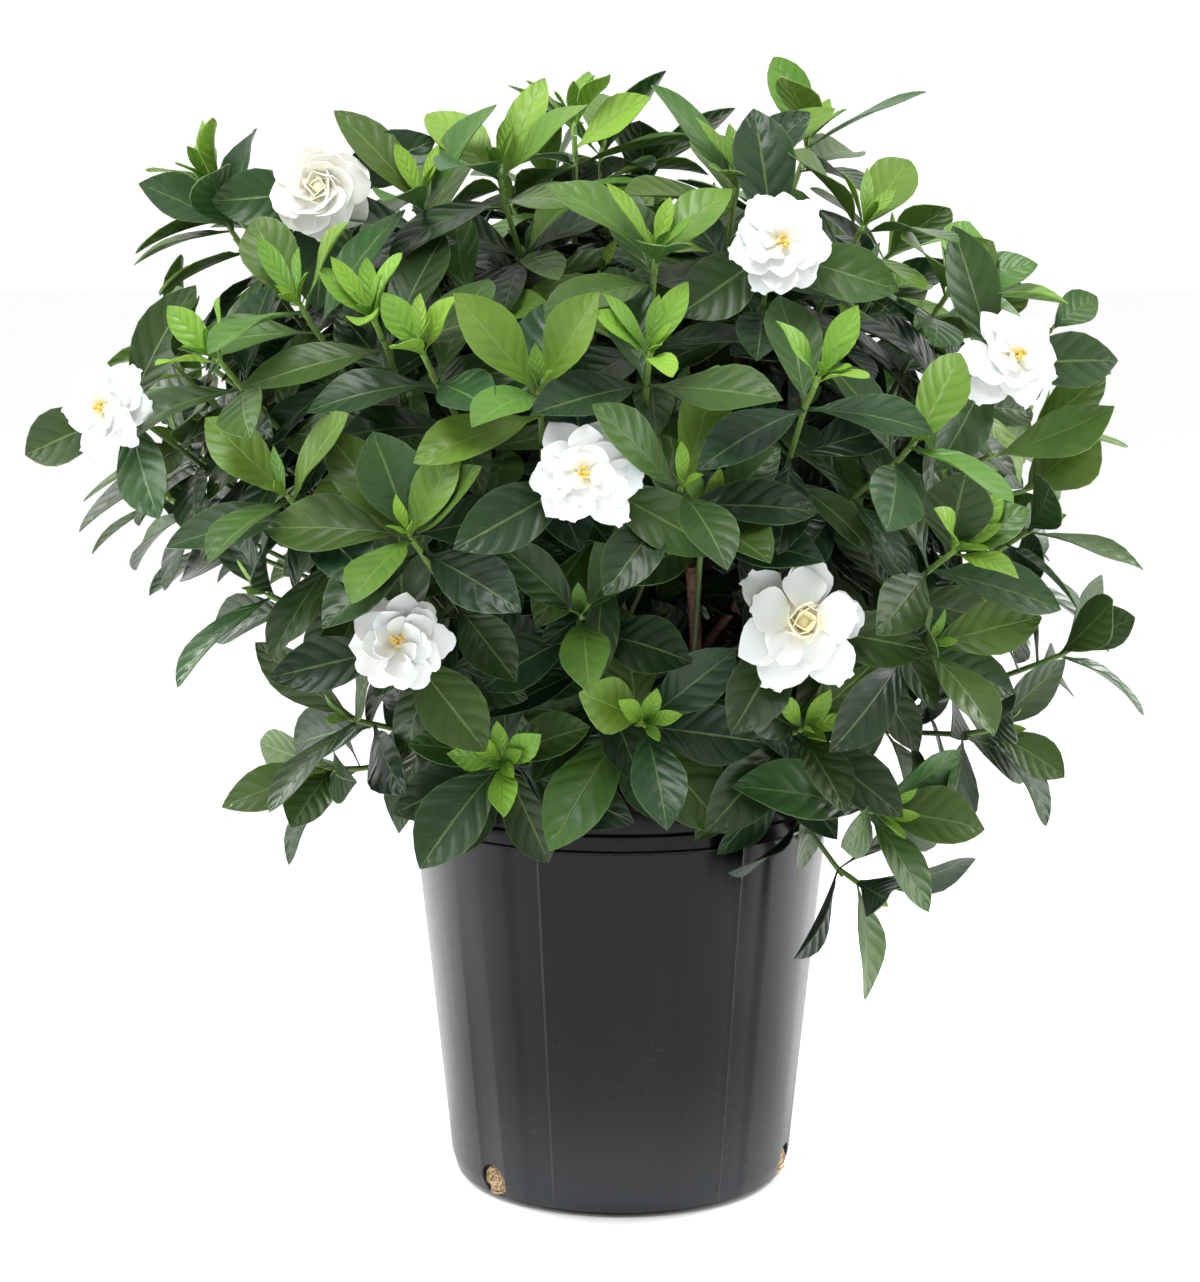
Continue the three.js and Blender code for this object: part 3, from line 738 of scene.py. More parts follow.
def model_blade(outline, stations, columns, length, half_width, thickness, notch=0):
    """A flat blade: a grid whose rows are drawn in to an outline, given a thickness."""
    bpy.ops.object.select_all(action="DESELECT")
    rows = len(stations) - 1
    bpy.ops.mesh.primitive_grid_add(x_subdivisions=columns, y_subdivisions=rows, size=2)
    blade = bpy.context.object
    bpy.ops.object.mode_set(mode="EDIT")
    for row, station in reversed(list(enumerate(stations))):
        place = 2 * row / rows - 1
        pick(blade, lambda co, y=place: abs(co.y - y) < 1e-4)
        bpy.ops.transform.resize(value=(max(outline(station), 1e-5) * half_width, 1, 1))
        bpy.ops.transform.translate(value=(0, ROWS_ASIDE + station * length - place, 0))
    bpy.ops.mesh.select_all(action="SELECT")
    bpy.ops.transform.translate(value=(0, -ROWS_ASIDE, 0))
    bpy.ops.mesh.remove_doubles(threshold=1e-3)
    if notch:
        pick(blade, lambda co: abs(co.x) < 1e-3 and co.y > length - 1e-3)
        bpy.ops.transform.translate(value=(0, -notch, 0))
    bpy.ops.object.mode_set(mode="OBJECT")
    apply_modifier(blade, "SOLIDIFY", thickness=thickness, offset=0, material_offset=1)
    return Pattern(blade, (half_width, length, 1))


def leaf_outline(s):
    """Broadest past the middle, and drawn in to a short stalk."""
    petiole = min(1, (s / 0.2) ** 1.5)
    blade = math.sin(math.pi * s**1.36) ** 0.92 * (0.35 + 0.65 * petiole)
    return max(LEAF_BREADTH * blade, 0.085 * (1 - s))


def round_petal(s):
    return max(math.sin(math.pi * s**1.35) ** 0.7, 0.12 * (1 - s))


def pointed_petal(s):
    return max(math.sin(math.pi * s**1.3) ** 0.95 * 1.02, 0.12 * (1 - s))


def ragged_petal(s):
    """A petal with a shoulder below its tip."""
    shoulder = 1 - 0.22 * math.exp(-(((s - 0.84) / 0.06) ** 2))
    return max(math.sin(math.pi * s**1.5) ** 0.62 * shoulder, 0.12 * (1 - s))


def notched_petal(s):
    """A petal with a blunt end, in which a notch is cut."""
    return max(round_petal(s), 0.4 * min(1, 4 * s))


LEAF_STATIONS = [0, 0.045, 0.12, 0.22, 0.34, 0.46, 0.58, 0.70, 0.81, 0.90, 0.96, 1]
PETAL_STATIONS = [0, 0.1, 0.22, 0.36, 0.5, 0.63, 0.75, 0.85, 0.93, 0.98, 1]
LEAF_COLUMNS, LEAF_THICKNESS = 4, 0.55
PETAL_COLUMNS, PETAL_THICKNESS, PETAL_NOTCH = 6, 0.5, 4
LEAF_SIZES = (LEAF_COLUMNS, LEAF_LENGTH, LEAF_HALF_WIDTH, LEAF_THICKNESS)
PETAL_SIZES = (PETAL_COLUMNS, PETAL_LENGTH, PETAL_HALF_WIDTH, PETAL_THICKNESS)
LEAF = model_blade(leaf_outline, LEAF_STATIONS, *LEAF_SIZES)
ROUND, POINTED, RAGGED, NOTCHED = range(4)
PETAL_OUTLINES = [round_petal, pointed_petal, ragged_petal, notched_petal]
PETALS = [
    model_blade(outline, PETAL_STATIONS, *PETAL_SIZES, PETAL_NOTCH * (outline is notched_petal))
    for outline in PETAL_OUTLINES
]


def reach_along(leaf, s):
    """The midrib's points and normals at shares of its length."""
    turn = leaf.arch * s
    ahead = leaf.length * np.sin(turn) / leaf.arch
    drop = leaf.length * (1 - np.cos(turn)) / leaf.arch
    point = leaf.root + np.multiply.outer(ahead, leaf.way) - np.multiply.outer(drop, leaf.up)
    normal = np.multiply.outer(np.cos(turn), leaf.up) + np.multiply.outer(np.sin(turn), leaf.way)
    return point, normal


EDGE_WAVES = 7


def bend(flat, outline, leaf):
    """A flat blade's points, arched along the midrib, folded along it and waved at the edges."""
    s, across, lift = flat[:, 1], flat[:, 0], flat[:, 2]
    point, normal = reach_along(leaf, s)
    side = np.cross(leaf.way, leaf.up)
    span = across * leaf.half_width
    share = np.abs(across) / np.maximum(outline, 0.05)
    wave = leaf.wave * np.sin(leaf.phase + np.where(across > 0, 0, 2) + EDGE_WAVES * s)
    rise = np.abs(span) * math.sin(leaf.fold) * (1 - leaf.cup + leaf.cup * share)
    rise = rise + wave * share**2 * np.sqrt(outline) + lift
    aside = span * math.cos(leaf.fold) + leaf.skew * s * s
    return point + np.outer(aside, side) + normal * rise[:, None]


def outlines_of(pattern, outline):
    return np.array([outline(min(max(s, 0), 1)) for s in pattern.points[:, 1]])


LEAF.outline = outlines_of(LEAF, leaf_outline)
for pattern, outline in zip(PETALS, PETAL_OUTLINES):
    pattern.outline = outlines_of(pattern, outline)
# A leaf as one plain sheet, with which its room is tested
SHEET_STATIONS = [0.12, 0.35, 0.6, 0.82, 0.97]
SHEET = np.array([[k * leaf_outline(s), s, 0] for s in SHEET_STATIONS for k in (-1, 0, 1)])
SHEET_OUTLINE = np.array([leaf_outline(s) for s in SHEET_STATIONS for _ in range(3)])
SHEET_FACES = [
    (i * 3 + k, i * 3 + k + 1, i * 3 + k + 4, i * 3 + k + 3)
    for i in range(len(SHEET_STATIONS) - 1)
    for k in (0, 1)
]


# How far behind its start an open view is kept clear too
VIEW_BACK = 4


class Air:
    """What stands in the canopy already. A further leaf grows only where it is clear of it."""

    def __init__(self):
        self.lows, self.highs, self.trees = np.empty((0, 3)), np.empty((0, 3)), []
        self.views = []

    def take(self, points, faces):
        self.lows = np.vstack([self.lows, points.min(0)])
        self.highs = np.vstack([self.highs, points.max(0)])
        self.trees.append(BVHTree.FromPolygons(points.tolist(), faces))

    def take_leaf(self, leaf):
        self.take(bend(SHEET, SHEET_OUTLINE, leaf), SHEET_FACES)

    def is_free(self, leaf):
        points = bend(SHEET, SHEET_OUTLINE, leaf)
        for start, way, length, radius in self.views:
            reach = (points - start) @ way
            off = np.linalg.norm(points - start - np.outer(reach, way), axis=1)
            if ((reach > -VIEW_BACK) & (reach < length) & (off < radius)).any():
                return False
        low, high = points.min(0), points.max(0)
        near = np.flatnonzero(((self.lows < high) & (self.highs > low)).all(1))
        tree = BVHTree.FromPolygons(points.tolist(), SHEET_FACES)
        return not any(tree.overlap(self.trees[i]) for i in near)


# The plant's plan, as in the solids
def rear_spray(row, index):
    turn, elevation, limb, has_bloom = row
    arms = []
    for k, (aside, lift) in enumerate(REAR_FAN):
        roll = dice(REAR_SEED + index, k)
        a = (turn + aside + REAR_JITTER * (2 * roll() - 1)) * DEGREE
        e = (elevation + lift + REAR_JITTER * (2 * roll() - 1)) * DEGREE
        flat = math.cos(e)
        reach = vec(math.sin(a) * flat, -math.cos(a) * flat, math.sin(e)) * CANOPY_HALF
        arm = rosette(*(CANOPY_CENTRE + reach))
        if has_bloom and k == 0:
            arm.axis, arm.bloom_size = unit(unit(reach) + 0.25 * UP), 1
        arms.append(arm)
    return [limb, *arms]


def plan_sprays():
    rows = [*FRONT_SPRAYS, *(rear_spray(row, i) for i, row in enumerate(REAR_SPRAYS))]
    sprays = []
    for index, (limb, *arms) in enumerate(rows):
        middle = sum(arm.end for arm in arms) / len(arms)
        base = CROWN + (middle - CROWN) * SHOOT_START
        base[2] = max(base[2], LOWEST_SHOOT_START)
        sprays.append(Part(index=index, limb=limb, arms=arms, base=base, name=f"{index + 1:02d}"))
    for spray in sprays:
        bases = [other.base for other in sprays if other.limb == spray.limb]
        spray.fork = CROWN + (sum(bases) / len(bases) - CROWN) * LIMB_REACH
        spray.heading = toward(spray.fork, spray.base)
        for index, arm in enumerate(spray.arms):
            plan_arm(arm, index, spray)
    return sprays


def plan_arm(arm, index, spray):
    start = spray.base + spray.heading * (STALK_LENGTH - STALK_OVERLAP)
    natural = toward(CANOPY_CENTRE, arm.end) + toward(start, arm.end)
    arm.axis = unit(natural + UPWARD * UP) if arm.axis is None else arm.axis
    arm.has_rosette = not arm.is_young and not arm.bloom_size
    backs = [*LOWER_BAND, *(UPPER_BAND if arm.has_rosette else [0])]
    arm.path = [start, *(arm.end - arm.axis * back for back in backs)]
    spin = FULL_TURN * dice(SPIN_SEED, spray.index, index)()
    radii = [ARM_RADIUS] + [ARM_TIP_RADIUS] * len(backs)
    arm.rings = rings_along(arm.path, radii, ARM_SIDES, spin)
    arm.index, arm.spray, arm.leaves = index, spray, []


def blade_pose(rings, band, side, axis, swing, lean):
    """Out from the axis at a lean, with the upper face towards the axis."""
    after = (side + 1) % rings.shape[1]
    corners = [rings[band][side], rings[band][after], rings[band + 1][after], rings[band + 1][side]]
    outward = (corners[0] + corners[1]) / 2 - rings[band].mean(0)
    spoke = turned(unit(outward - axis * float(outward @ axis)), axis, swing)
    return lean_out(sum(corners) / 4, axis, spoke, lean)


def lean_out(root, axis, spoke, lean):
    rise, reach = math.cos(lean * DEGREE), math.sin(lean * DEGREE)
    return Part(root=root, way=axis * rise + spoke * reach, up=axis * reach - spoke * rise)


def whorl_slots(arm, whorl):
    roll = dice(arm.spray.index, arm.index, whorl.seed)
    spared = int(len(whorl.sides) * roll()) if whorl is LOWER_WHORL and arm.has_rosette else -1
    slots = []
    for side, swing in whorl.sides:
        slot = draw_leaf(roll, swing, whorl.pitch, whorl.size)
        slot.side = side
        slots.append(slot)
    return [slot for i, slot in enumerate(slots) if i != spared]


def draw_leaf(roll, swing, pitch, size):
    """A leaf's own draws, in the order in which the solids make them."""
    return Part(
        swing=swing + between(ANGLE_SPREAD, roll),
        pitch=pitch + between(ANGLE_SPREAD, roll),
        length=LEAF_LENGTH * size * between(LENGTH_SPREAD, roll),
        half_width=LEAF_HALF_WIDTH * size * between(WIDTH_SPREAD, roll),
        arch=between(LEAF_ARCH, roll) * DEGREE,
        fold=between(LEAF_FOLD, roll) * DEGREE,
        wave=between(LEAF_WAVE, roll),
        phase=FULL_TURN * roll(),
        cup=LEAF_CUP,
        skew=0,
    )


POSES = [
    (size, lift, swing)
    for size in (1, 0.86, 0.74)
    for lift in (0, -12, 12, -24)
    for swing in (0, 14, -14, 28, -28)
]


def posed(slot, pose, size):
    made = Part(**vars(slot))
    made.root, made.way, made.up = pose.root, pose.way, pose.up
    made.length, made.half_width = slot.length * size, slot.half_width * size
    return made


def packed_leaves(arm, whorl, rings, node):
    """The whorl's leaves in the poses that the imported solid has, found by their tips."""
    found = []
    tips = PACKED_POINTS[node]
    for slot in whorl_slots(arm, whorl):
        for size, lift, swing in POSES:
            turn, lean = slot.swing + swing, slot.pitch + lift
            pose = blade_pose(rings, whorl.band, slot.side, arm.axis, turn, lean)
            leaf = posed(slot, pose, size)
            tip = reach_along(leaf, 1.0)[0]
            if tips.find(Vector(tip * MM))[2] < TIP_MATCH * MM:
                found.append(leaf)
                break
    return found


def points_tree(node):
    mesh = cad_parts[node].data
    tree = KDTree(len(mesh.vertices))
    for i, vertex in enumerate(mesh.vertices):
        tree.insert(vertex.co, i)
    tree.balance()
    return tree


LEAFY_NODES = ("leafy_spray", "young_tip")
PACKED_POINTS = {
    name: points_tree(name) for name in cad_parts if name.startswith(LEAFY_NODES)
}

# Camera
bpy.ops.object.camera_add(location=CAMERA_PLACE, rotation=(math.pi / 2 - CAMERA_PITCH, 0, 0))
camera = bpy.context.object
camera.data.sensor_width = SENSOR
camera.data.lens = FOCAL_PIXELS * SENSOR / FRAME_HEIGHT
camera.data.shift_x = -SHIFT_PIXELS / FRAME_HEIGHT
bpy.context.scene.camera = camera

LEAF_FINISH = [leaf_top_finish(), leaf_under_finish()]
SHOOT_FINISH = [shoot_finish()]
BARK_FINISH = [bark_finish()]

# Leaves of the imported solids
sprays = plan_sprays()
arms = [arm for spray in sprays for arm in spray.arms]
air = Air()
shade_roll = dice(SHADE_SEED)


def age(leaf, tone):
    leaf.tone = min(max(tone, 0), 1)
    leaf.shade = 2 * shade_roll() - 1
    return leaf


def height_tone(point):
    """Darker low down, and lighter higher up, to the top leaves, which are even."""
    return 0.17 * min((point[2] - CANOPY_CENTRE[2]) / CANOPY_HALF[2], 0.3)


# Ranges of tone from the lower leaves to the young ones
LOWER_TONE, UPPER_TONE, YOUNG_TONE = (0.16, 0.42), (0.30, 0.64), (0.80, 0.96)
YOUNG_BREADTH = 0.84
# How much lighter some rosettes are: spray, arm and tone
LIGHT_ROSETTES = [
    (0, 1, 0.04), (1, 1, 0.08), (7, 1, 0.14), (8, 0, 0.12), (9, 1, 0.06), (11, 1, 0.08),
    (12, 0, 0.2), (13, 1, 0.12), (14, 2, 0.12), (16, 0, 0.14), (18, 0, 0.12),
]
LIGHTER = {(spray, arm): tone for spray, arm, tone in LIGHT_ROSETTES}

for arm in arms:
    node = f"leafy_spray_{arm.spray.name}"
    lift = LIGHTER.get((arm.spray.index, arm.index), 0) + height_tone(arm.end)
    whorls = [(LOWER_WHORL, LOWER_TONE), (UPPER_WHORL, UPPER_TONE)]
    for whorl, tones in whorls if arm.has_rosette else whorls[:1]:
        for leaf in packed_leaves(arm, whorl, arm.rings, node):
            arm.leaves.append(age(leaf, between(tones, shade_roll) + lift))
young = [arm for arm in arms if arm.is_young]
for number, arm in enumerate(young):
    arm.young_name = f"young_tip_{number + 1:02d}"
    line = [arm.end + arm.axis * height for height in YOUNG_SHOOT[:3]]
    arm.young_rings = rings_along(line, [ARM_TIP_RADIUS] * 3, ARM_SIDES, 1)
    arm.young_leaves = [
        age(leaf, between(YOUNG_TONE, shade_roll))
        for leaf in packed_leaves(arm, YOUNG_WHORL, arm.young_rings, arm.young_name)
    ]
    for leaf in arm.young_leaves:
        leaf.half_width *= YOUNG_BREADTH
for arm in arms:
    for leaf in [*arm.leaves, *getattr(arm, "young_leaves", [])]:
        air.take_leaf(leaf)

# Open air in front of each bloom, which stays clear: along its axis and to the camera
FACE_VIEW, FACE_RADIUS = 60, 26
CAMERA_VIEW, CAMERA_RADIUS, STEM_RADIUS = 300, 24, 19
blooms = [arm for arm in arms if arm.bloom_size]
CAMERA_MM = np.array(CAMERA_PLACE) / MM
for arm in blooms:
    face = arm.end + arm.axis * BLOOM_TUBE
    air.views.append((face, arm.axis, FACE_VIEW, FACE_RADIUS * arm.bloom_size))
    if face[1] < 0:
        radius = CAMERA_RADIUS * arm.bloom_size
        air.views.append((face, toward(face, CAMERA_MM), CAMERA_VIEW, radius))

# A cut stem that shows in the middle, and the room in front of its upper part
CUT_STEM = [vec(20, -60, 262), vec(40, -104, 318), vec(38, -150, 383)]
CUT_STEM_RADII = [3.4, 3.2, 3.6]
for share in np.linspace(0.1, 1, 6):
    point = CUT_STEM[1] + (CUT_STEM[2] - CUT_STEM[1]) * share
    air.views.append((point, toward(point, CAMERA_MM), CAMERA_VIEW, STEM_RADIUS))

# Further leaves on the arms of the solids: inner whorls and small leaves at the heart.
# Arms to the left of LEFT_ARMS_X and below LEFT_ARMS_TOP bear no inner whorls
LEFT_ARMS_X, LEFT_ARMS_TOP = -190, 440
FURTHER_BACKS = [34, 50, 66]
WHORL_LEAVES = 3
LINE_MARGIN = 6
HEART_LEAVES, HEART_SIZE = 3, 0.22
HEART_DEPTH = 1.5
HEART_BREADTH = 0.64
# The rosettes with lime hearts, by spray and arm
LIME_HEARTS = {
    (0, 1), (1, 1), (8, 0), (9, 1), (10, 0), (10, 1), (11, 1), (16, 0), (16, 1), (18, 0), (19, 1)
}
# The swings and leans in which a further leaf is tried
LEAF_TRIES = [(0, 0), (16, -10), (-16, -10), (30, 8), (-30, 8)]
HEART_TRIES = [(0, 0), (25, 6)]


def try_leaf(home, root, axis, spoke_angle, slot, tone, tries):
    """Grows a leaf from a shoot where there is room for it."""
    for swing, lift in tries:
        spoke = spoke_from(axis, spoke_angle + (slot.swing + swing) * DEGREE)
        leaf = posed(slot, lean_out(root, axis, spoke, slot.pitch + lift), 1)
        if air.is_free(leaf):
            air.take_leaf(leaf)
            home.append(age(leaf, tone))
            return


def clothe_line(home, line_start, line_end, backs, roll, tone):
    """Whorls of leaves along the straight part of a shoot, at distances from its end."""
    way = toward(line_start, line_end)
    reach = np.linalg.norm(line_end - line_start)
    first = FULL_TURN * roll()
    for i, back in enumerate(backs):
        if back > reach - LINE_MARGIN:
            break
        root = line_end - way * back
        for k in range(WHORL_LEAVES):
            slot = draw_leaf(roll, 0, 76 + 4 * i, 0.88)
            slot.half_width *= 0.8 + 0.28 * roll()
            angle = first + (k / WHORL_LEAVES + i / 6) * FULL_TURN
            skin = root + spoke_from(way, angle) * ARM_RADIUS
            try_leaf(home, skin, way, angle, slot, tone, LEAF_TRIES)


def clothe_heart(home, tip, axis, roll, tone, count, size):
    """Small upright leaves at a shoot's heart."""
    for k in range(count):
        slot = draw_leaf(roll, 0, 12 + 6 * k, size + 0.07 * k)
        slot.arch *= 0.5
        slot.wave *= 0.4
        slot.half_width *= HEART_BREADTH
        angle = FULL_TURN * (k / count + 0.1)
        try_leaf(home, tip - axis * HEART_DEPTH, axis, angle, slot, tone, HEART_TRIES)


wood_points = []
for spray in sprays:
    for t in np.linspace(0.15, 1, 6):
        wood_points.append(spray.fork + (spray.base - spray.fork) * t)
    for t in np.linspace(0.4, 1, 4):
        wood_points.append(CROWN + (spray.fork - CROWN) * t)
    for arm in spray.arms:
        for t in np.linspace(0.1, 0.5, 3):
            wood_points.append(arm.path[0] + (arm.path[1] - arm.path[0]) * t)
wood_points = np.array(wood_points)


TWIG_LENGTH = 45
TWIG_BEND, TWIG_NECK = 40, 18


def plan_twig(end):
    """A twig from the nearest wood that lies inward of its end."""
    outward = toward(CANOPY_CENTRE, end)
    gaps = np.linalg.norm(wood_points - end, axis=1)
    lean = (wood_points - end) @ outward
    choice = np.where((gaps > TWIG_LENGTH) & (lean < -0.5 * gaps), gaps, 1e6)
    start = wood_points[int(np.argmin(choice))]
    axis = unit(outward + toward(start, end) + UPWARD * UP)
    bend_at = start + (end - axis * TWIG_BEND - start) * 0.6 + UP * -4
    path = [start, bend_at, end - axis * TWIG_NECK, end]
    return Part(path=path, end=end, axis=axis, leaves=[])


# Twigs for some of the leaves below
FEATURE_TWIGS = [(200, -130, 439), (218, -115, 418), (172, -152, 427), (230, -128, 506)]
feature_twigs = [plan_twig(vec(*end)) for end in FEATURE_TWIGS]

# Leaves that show in the photograph: the spray and arm that each grows from, how far down
# the arm, its tip, its half width and tone, and whether its lower face is towards the camera
FEATURE_LEAVES = [
    (1, 2, 0, (-263, -100, 577), 15, 0.36),
    (0, 1, 0, (-148, -150, 617), 19, 0.66, "below"),
    (8, 1, 34, (-20, -60, 629), 19, 0.30),
    (8, 1, 8, (17, -50, 631), 12, 0.84),
    (8, 0, 6, (-40, -120, 639), 11, 0.80),
    (10, 0, 0, (85, -50, 653), 13, 0.80),
    (10, 0, 0, (140, -60, 639), 22, 0.60, "below"),
    (11, 0, 14, (140, -150, 591), 17, 0.52),
    (10, 1, 0, (100, -150, 619), 14, 0.30),
    (12, 0, 0, (198, -120, 554), 15, 0.52),
    (12, 0, 0, (222, -130, 542), 13, 0.70),
    ("twig", 0, 0, (267, -120, 464), 15, 0.60, "below"),
    ("twig", 0, 2, (183, -150, 471), 13, 0.52, "below"),
    ("twig", 1, 0, (260, -105, 452), 20, 0.50, "below"),
    ("twig", 2, 0, (169, -160, 488), 14, 0.68, "below"),
    ("twig", 3, 0, (256, -120, 523), 11, 0.50),
    ("twig", 3, 4, (264, -120, 481), 9, 0.62),
    (15, 0, 0, (290, -70, 341), 14, 0.34),
    (15, 0, 0, (288, -80, 301), 13, 0.34),
    (15, 1, 0, (246, -110, 260), 13, 0.34),
    (16, 0, 0, (197, -150, 239), 18, 0.36),
    (16, 0, 0, (69, -190, 292), 19, 0.50),
    (16, 0, 0, (155, -180, 296), 15, 0.58),
    (6, 1, 0, (-221, -110, 242), 14, 0.40),
    (6, 1, 0, (-181, -130, 235), 14, 0.34),
    (6, 2, 0, (-107, -190, 226), 20, 0.26),
    (18, 0, 40, (-39, -200, 238), 18, 0.56),
    (18, 0, 40, (60, -190, 249), 21, 0.36),
    (18, 0, 40, (47, -225, 321), 17, 0.56),
    (5, 0, 0, (-182, -215, 400), 18, 0.34),
    (17, 0, 30, (-84, -255, 449), 17, 0.40),
    (7, 1, 0, (-75, -240, 517), 20, 0.66, "below"),
    (5, 0, 0, (-124, -240, 461), 18, 0.40),
    (5, 0, 0, (-71, -250, 445), 13, 0.60),
    (5, 0, 0, (-37, -235, 402), 17, 0.34),
    (18, 0, 0, (2, -220, 362), 17, 0.44),
    (6, 2, 0, (-112, -185, 293), 13, 0.50),
    (6, 2, 0, (-16, -190, 303), 15, 0.40),
    (14, 0, 0, (177, -200, 438), 19, 0.28),
    (14, 0, 0, (212, -190, 417), 13, 0.60),
    (2, 0, 0, (-240, -170, 508), 16, 0.50),
    (3, 0, 0, (-260, -120, 425), 12, 0.55),
]
FEATURE_FACING = vec(0, -0.8, 0.6)
FEATURE_ARCH = [10, 30]
FEATURE_TURNS = [0, 6, -6, 12, -12, 18, -18]


def feature_leaf(root, tip, half_width, facing, roll):
    """A leaf from its root to its tip, whose upper face looks the given way."""
    chord = toward(root, tip)
    up = unit(facing - chord * float(facing @ chord))
    arch = between(FEATURE_ARCH, roll) * DEGREE
    half = arch / 2
    return Part(
        root=root,
        way=chord * math.cos(half) + up * math.sin(half),
        up=up * math.cos(half) - chord * math.sin(half),
        length=float(np.linalg.norm(tip - root)) * half / math.sin(half),
        half_width=half_width / LEAF_BREADTH,
        arch=arch,
        fold=between(LEAF_FOLD, roll) * DEGREE,
        wave=between(LEAF_WAVE, roll),
        phase=FULL_TURN * roll(),
        cup=LEAF_CUP,
        skew=4 * (roll() - 0.5),
    )


for arm in arms:
    arm.extra = []
for number, (spray, index, back, tip, half_width, tone, *below) in enumerate(FEATURE_LEAVES):
    if spray == "twig":
        shoot = feature_twigs[index]
        home, bends = shoot.leaves, TWIG_NECK
    else:
        shoot = sprays[spray].arms[index]
        home, bends = shoot.extra, LOWER_BAND[0]
    root = shoot.end - shoot.axis * min(back, bends)
    if back > bends:
        root = root + toward(shoot.path[1], shoot.path[0]) * (back - bends)
    facing = FEATURE_FACING + vec(0.5, 0, 0) * (dice(FACING_SEED, number)() - 0.5)
    for turn in FEATURE_TURNS:
        aim = root + turned(vec(*tip) - root, vec(0, 1, 0), turn)
        roll = dice(FEATURE_SEED, number)
        leaf = feature_leaf(root, aim, half_width, -facing if below else facing, roll)
        if air.is_free(leaf):
            air.take_leaf(leaf)
            home.append(age(leaf, tone))
            break

# Two kinds of heart: the height over the shoot's end, the tone, the count and the leaves' size
YOUNG_HEART, LIME_HEART = (8, 0.88, 5, 0.26), (3, 0.84, 5, 0.28)
for arm in arms:
    roll = dice(SHOOT_SEED, arm.spray.index, arm.index)
    if arm.is_young or arm.has_rosette:
        heart = YOUNG_HEART if arm.is_young else LIME_HEART
        if arm.has_rosette and (arm.spray.index, arm.index) not in LIME_HEARTS:
            heart = (3, 0.62 + 0.3 * roll(), HEART_LEAVES, HEART_SIZE)
        height, tone, count, size = heart
        clothe_heart(arm.extra, arm.end + arm.axis * height, arm.axis, roll, tone, count, size)
    if arm.end[0] > LEFT_ARMS_X or arm.end[2] > LEFT_ARMS_TOP:
        tone = 0.14 + 0.16 * roll()
        clothe_line(arm.extra, arm.path[0], arm.path[1], FURTHER_BACKS, roll, tone)

# Further twigs, spread evenly in the canopy where no shoot ends yet. Each shell is a count,
# its share of the canopy's size and how far its twigs' ends stand apart
ends = [shoot.end for shoot in [*arms, *feature_twigs]]
TWIG_SHELLS = [(330, 0.83, 44), (200, 0.66, 44), (110, 0.48, 50)]
TWIG_BACKS = [19, 36, 54]
RIM_ABOVE, RIM_ROUND = POT_HEIGHT + 18, RIM_RADIUS + 8
GOLDEN_TURN = math.pi * (3 - math.sqrt(5))
# The canopy's left side is drawn in below: its edge passes here and flares outwards
LEFT_FOOT = (-122, 300)
LEFT_FLARE = 0.55


def shell_points(count, share, seed):
    """Points spread evenly over the canopy's outline, drawn in by a share."""
    roll = dice(SHELL_SEED, seed)
    for k in range(count):
        z = 1 - 2 * (k + 0.5) / count
        angle = k * GOLDEN_TURN
        flat = math.sqrt(1 - z * z)
        out = vec(flat * math.cos(angle), flat * math.sin(angle), z)
        yield CANOPY_CENTRE + out * CANOPY_HALF * (share + 0.08 * (roll() - 0.5)), roll


# No twig ends in the middle, in front of the cut stem
OPEN_LOW, OPEN_HIGH = vec(-70, -300, 300), vec(70, -110, 392)

twigs = list(feature_twigs)
for shell, (count, share, spacing) in enumerate(TWIG_SHELLS):
    for end, roll in shell_points(count, share, shell):
        if min(np.linalg.norm(end - other) for other in ends) < spacing:
            continue
        if end[2] < RIM_ABOVE and math.hypot(end[0], end[1]) < RIM_ROUND:
            continue
        if end[0] < LEFT_FOOT[0] - (end[2] - LEFT_FOOT[1]) * LEFT_FLARE:
            continue
        if (end > OPEN_LOW).all() and (end < OPEN_HIGH).all():
            continue
        twig = plan_twig(end)
        # A twig's leaves are darker the deeper its shell lies: painted shade inside the canopy, on
        # top of the tone by height
        tone = 0.20 + 0.5 * (share - 0.9) + height_tone(end)
        clothe_line(twig.leaves, twig.path[2], end, [2], roll, tone + 0.10 + 0.36 * roll())
        clothe_line(twig.leaves, twig.path[1], end, TWIG_BACKS, roll, tone + 0.14 * roll())
        clothe_heart(twig.leaves, end, twig.axis, roll, tone + 0.35, 2, HEART_SIZE)
        if len(twig.leaves) > 2:
            ends.append(end)
            twigs.append(twig)


# Leafy pieces
def heap_leaves(heap, leaves):
    for leaf in leaves:
        heap.add_copy(LEAF, bend(LEAF.points, LEAF.outline, leaf), leaf.tone, leaf.shade)


def add_column(heap, foot, axis, rows, sides, tone=0.5, tip=None, step=1.5):
    """A straight stem up an axis, by rows of height and radius, with its tip at a height."""
    line = [foot + axis * height for height, _ in rows]
    peak = None if tip is None else foot + axis * tip
    heap.add_tube(line, [radius for _, radius in rows], sides, tone, peak, step)


SHOOT_SIDES = 8
for spray in sprays:
    leaves, shoots = Heap("blade"), Heap("stem")
    stalk = [(0, BRANCH_TIP_RADIUS), (STALK_LENGTH, STALK_RADIUS)]
    add_column(shoots, spray.base, spray.heading, stalk, SHOOT_SIDES, 0.1, step=4)
    for arm in spray.arms:
        heap_leaves(leaves, arm.leaves + arm.extra)
        tip = arm.end + arm.axis * BUD_LENGTH if arm.has_rosette else None
        radii = [ARM_RADIUS] + [ARM_TIP_RADIUS] * (len(arm.path) - 1)
        shoots.add_tube(arm.path, radii, SHOOT_SIDES, (0.1, 0.75), tip)
    node = f"leafy_spray_{spray.name}"
    dress(leaves.build(f"spray_{spray.name}_leaves"), LEAF_FINISH, [node])
    dress(shoots.build(f"spray_{spray.name}_shoots"), SHOOT_FINISH, [node])
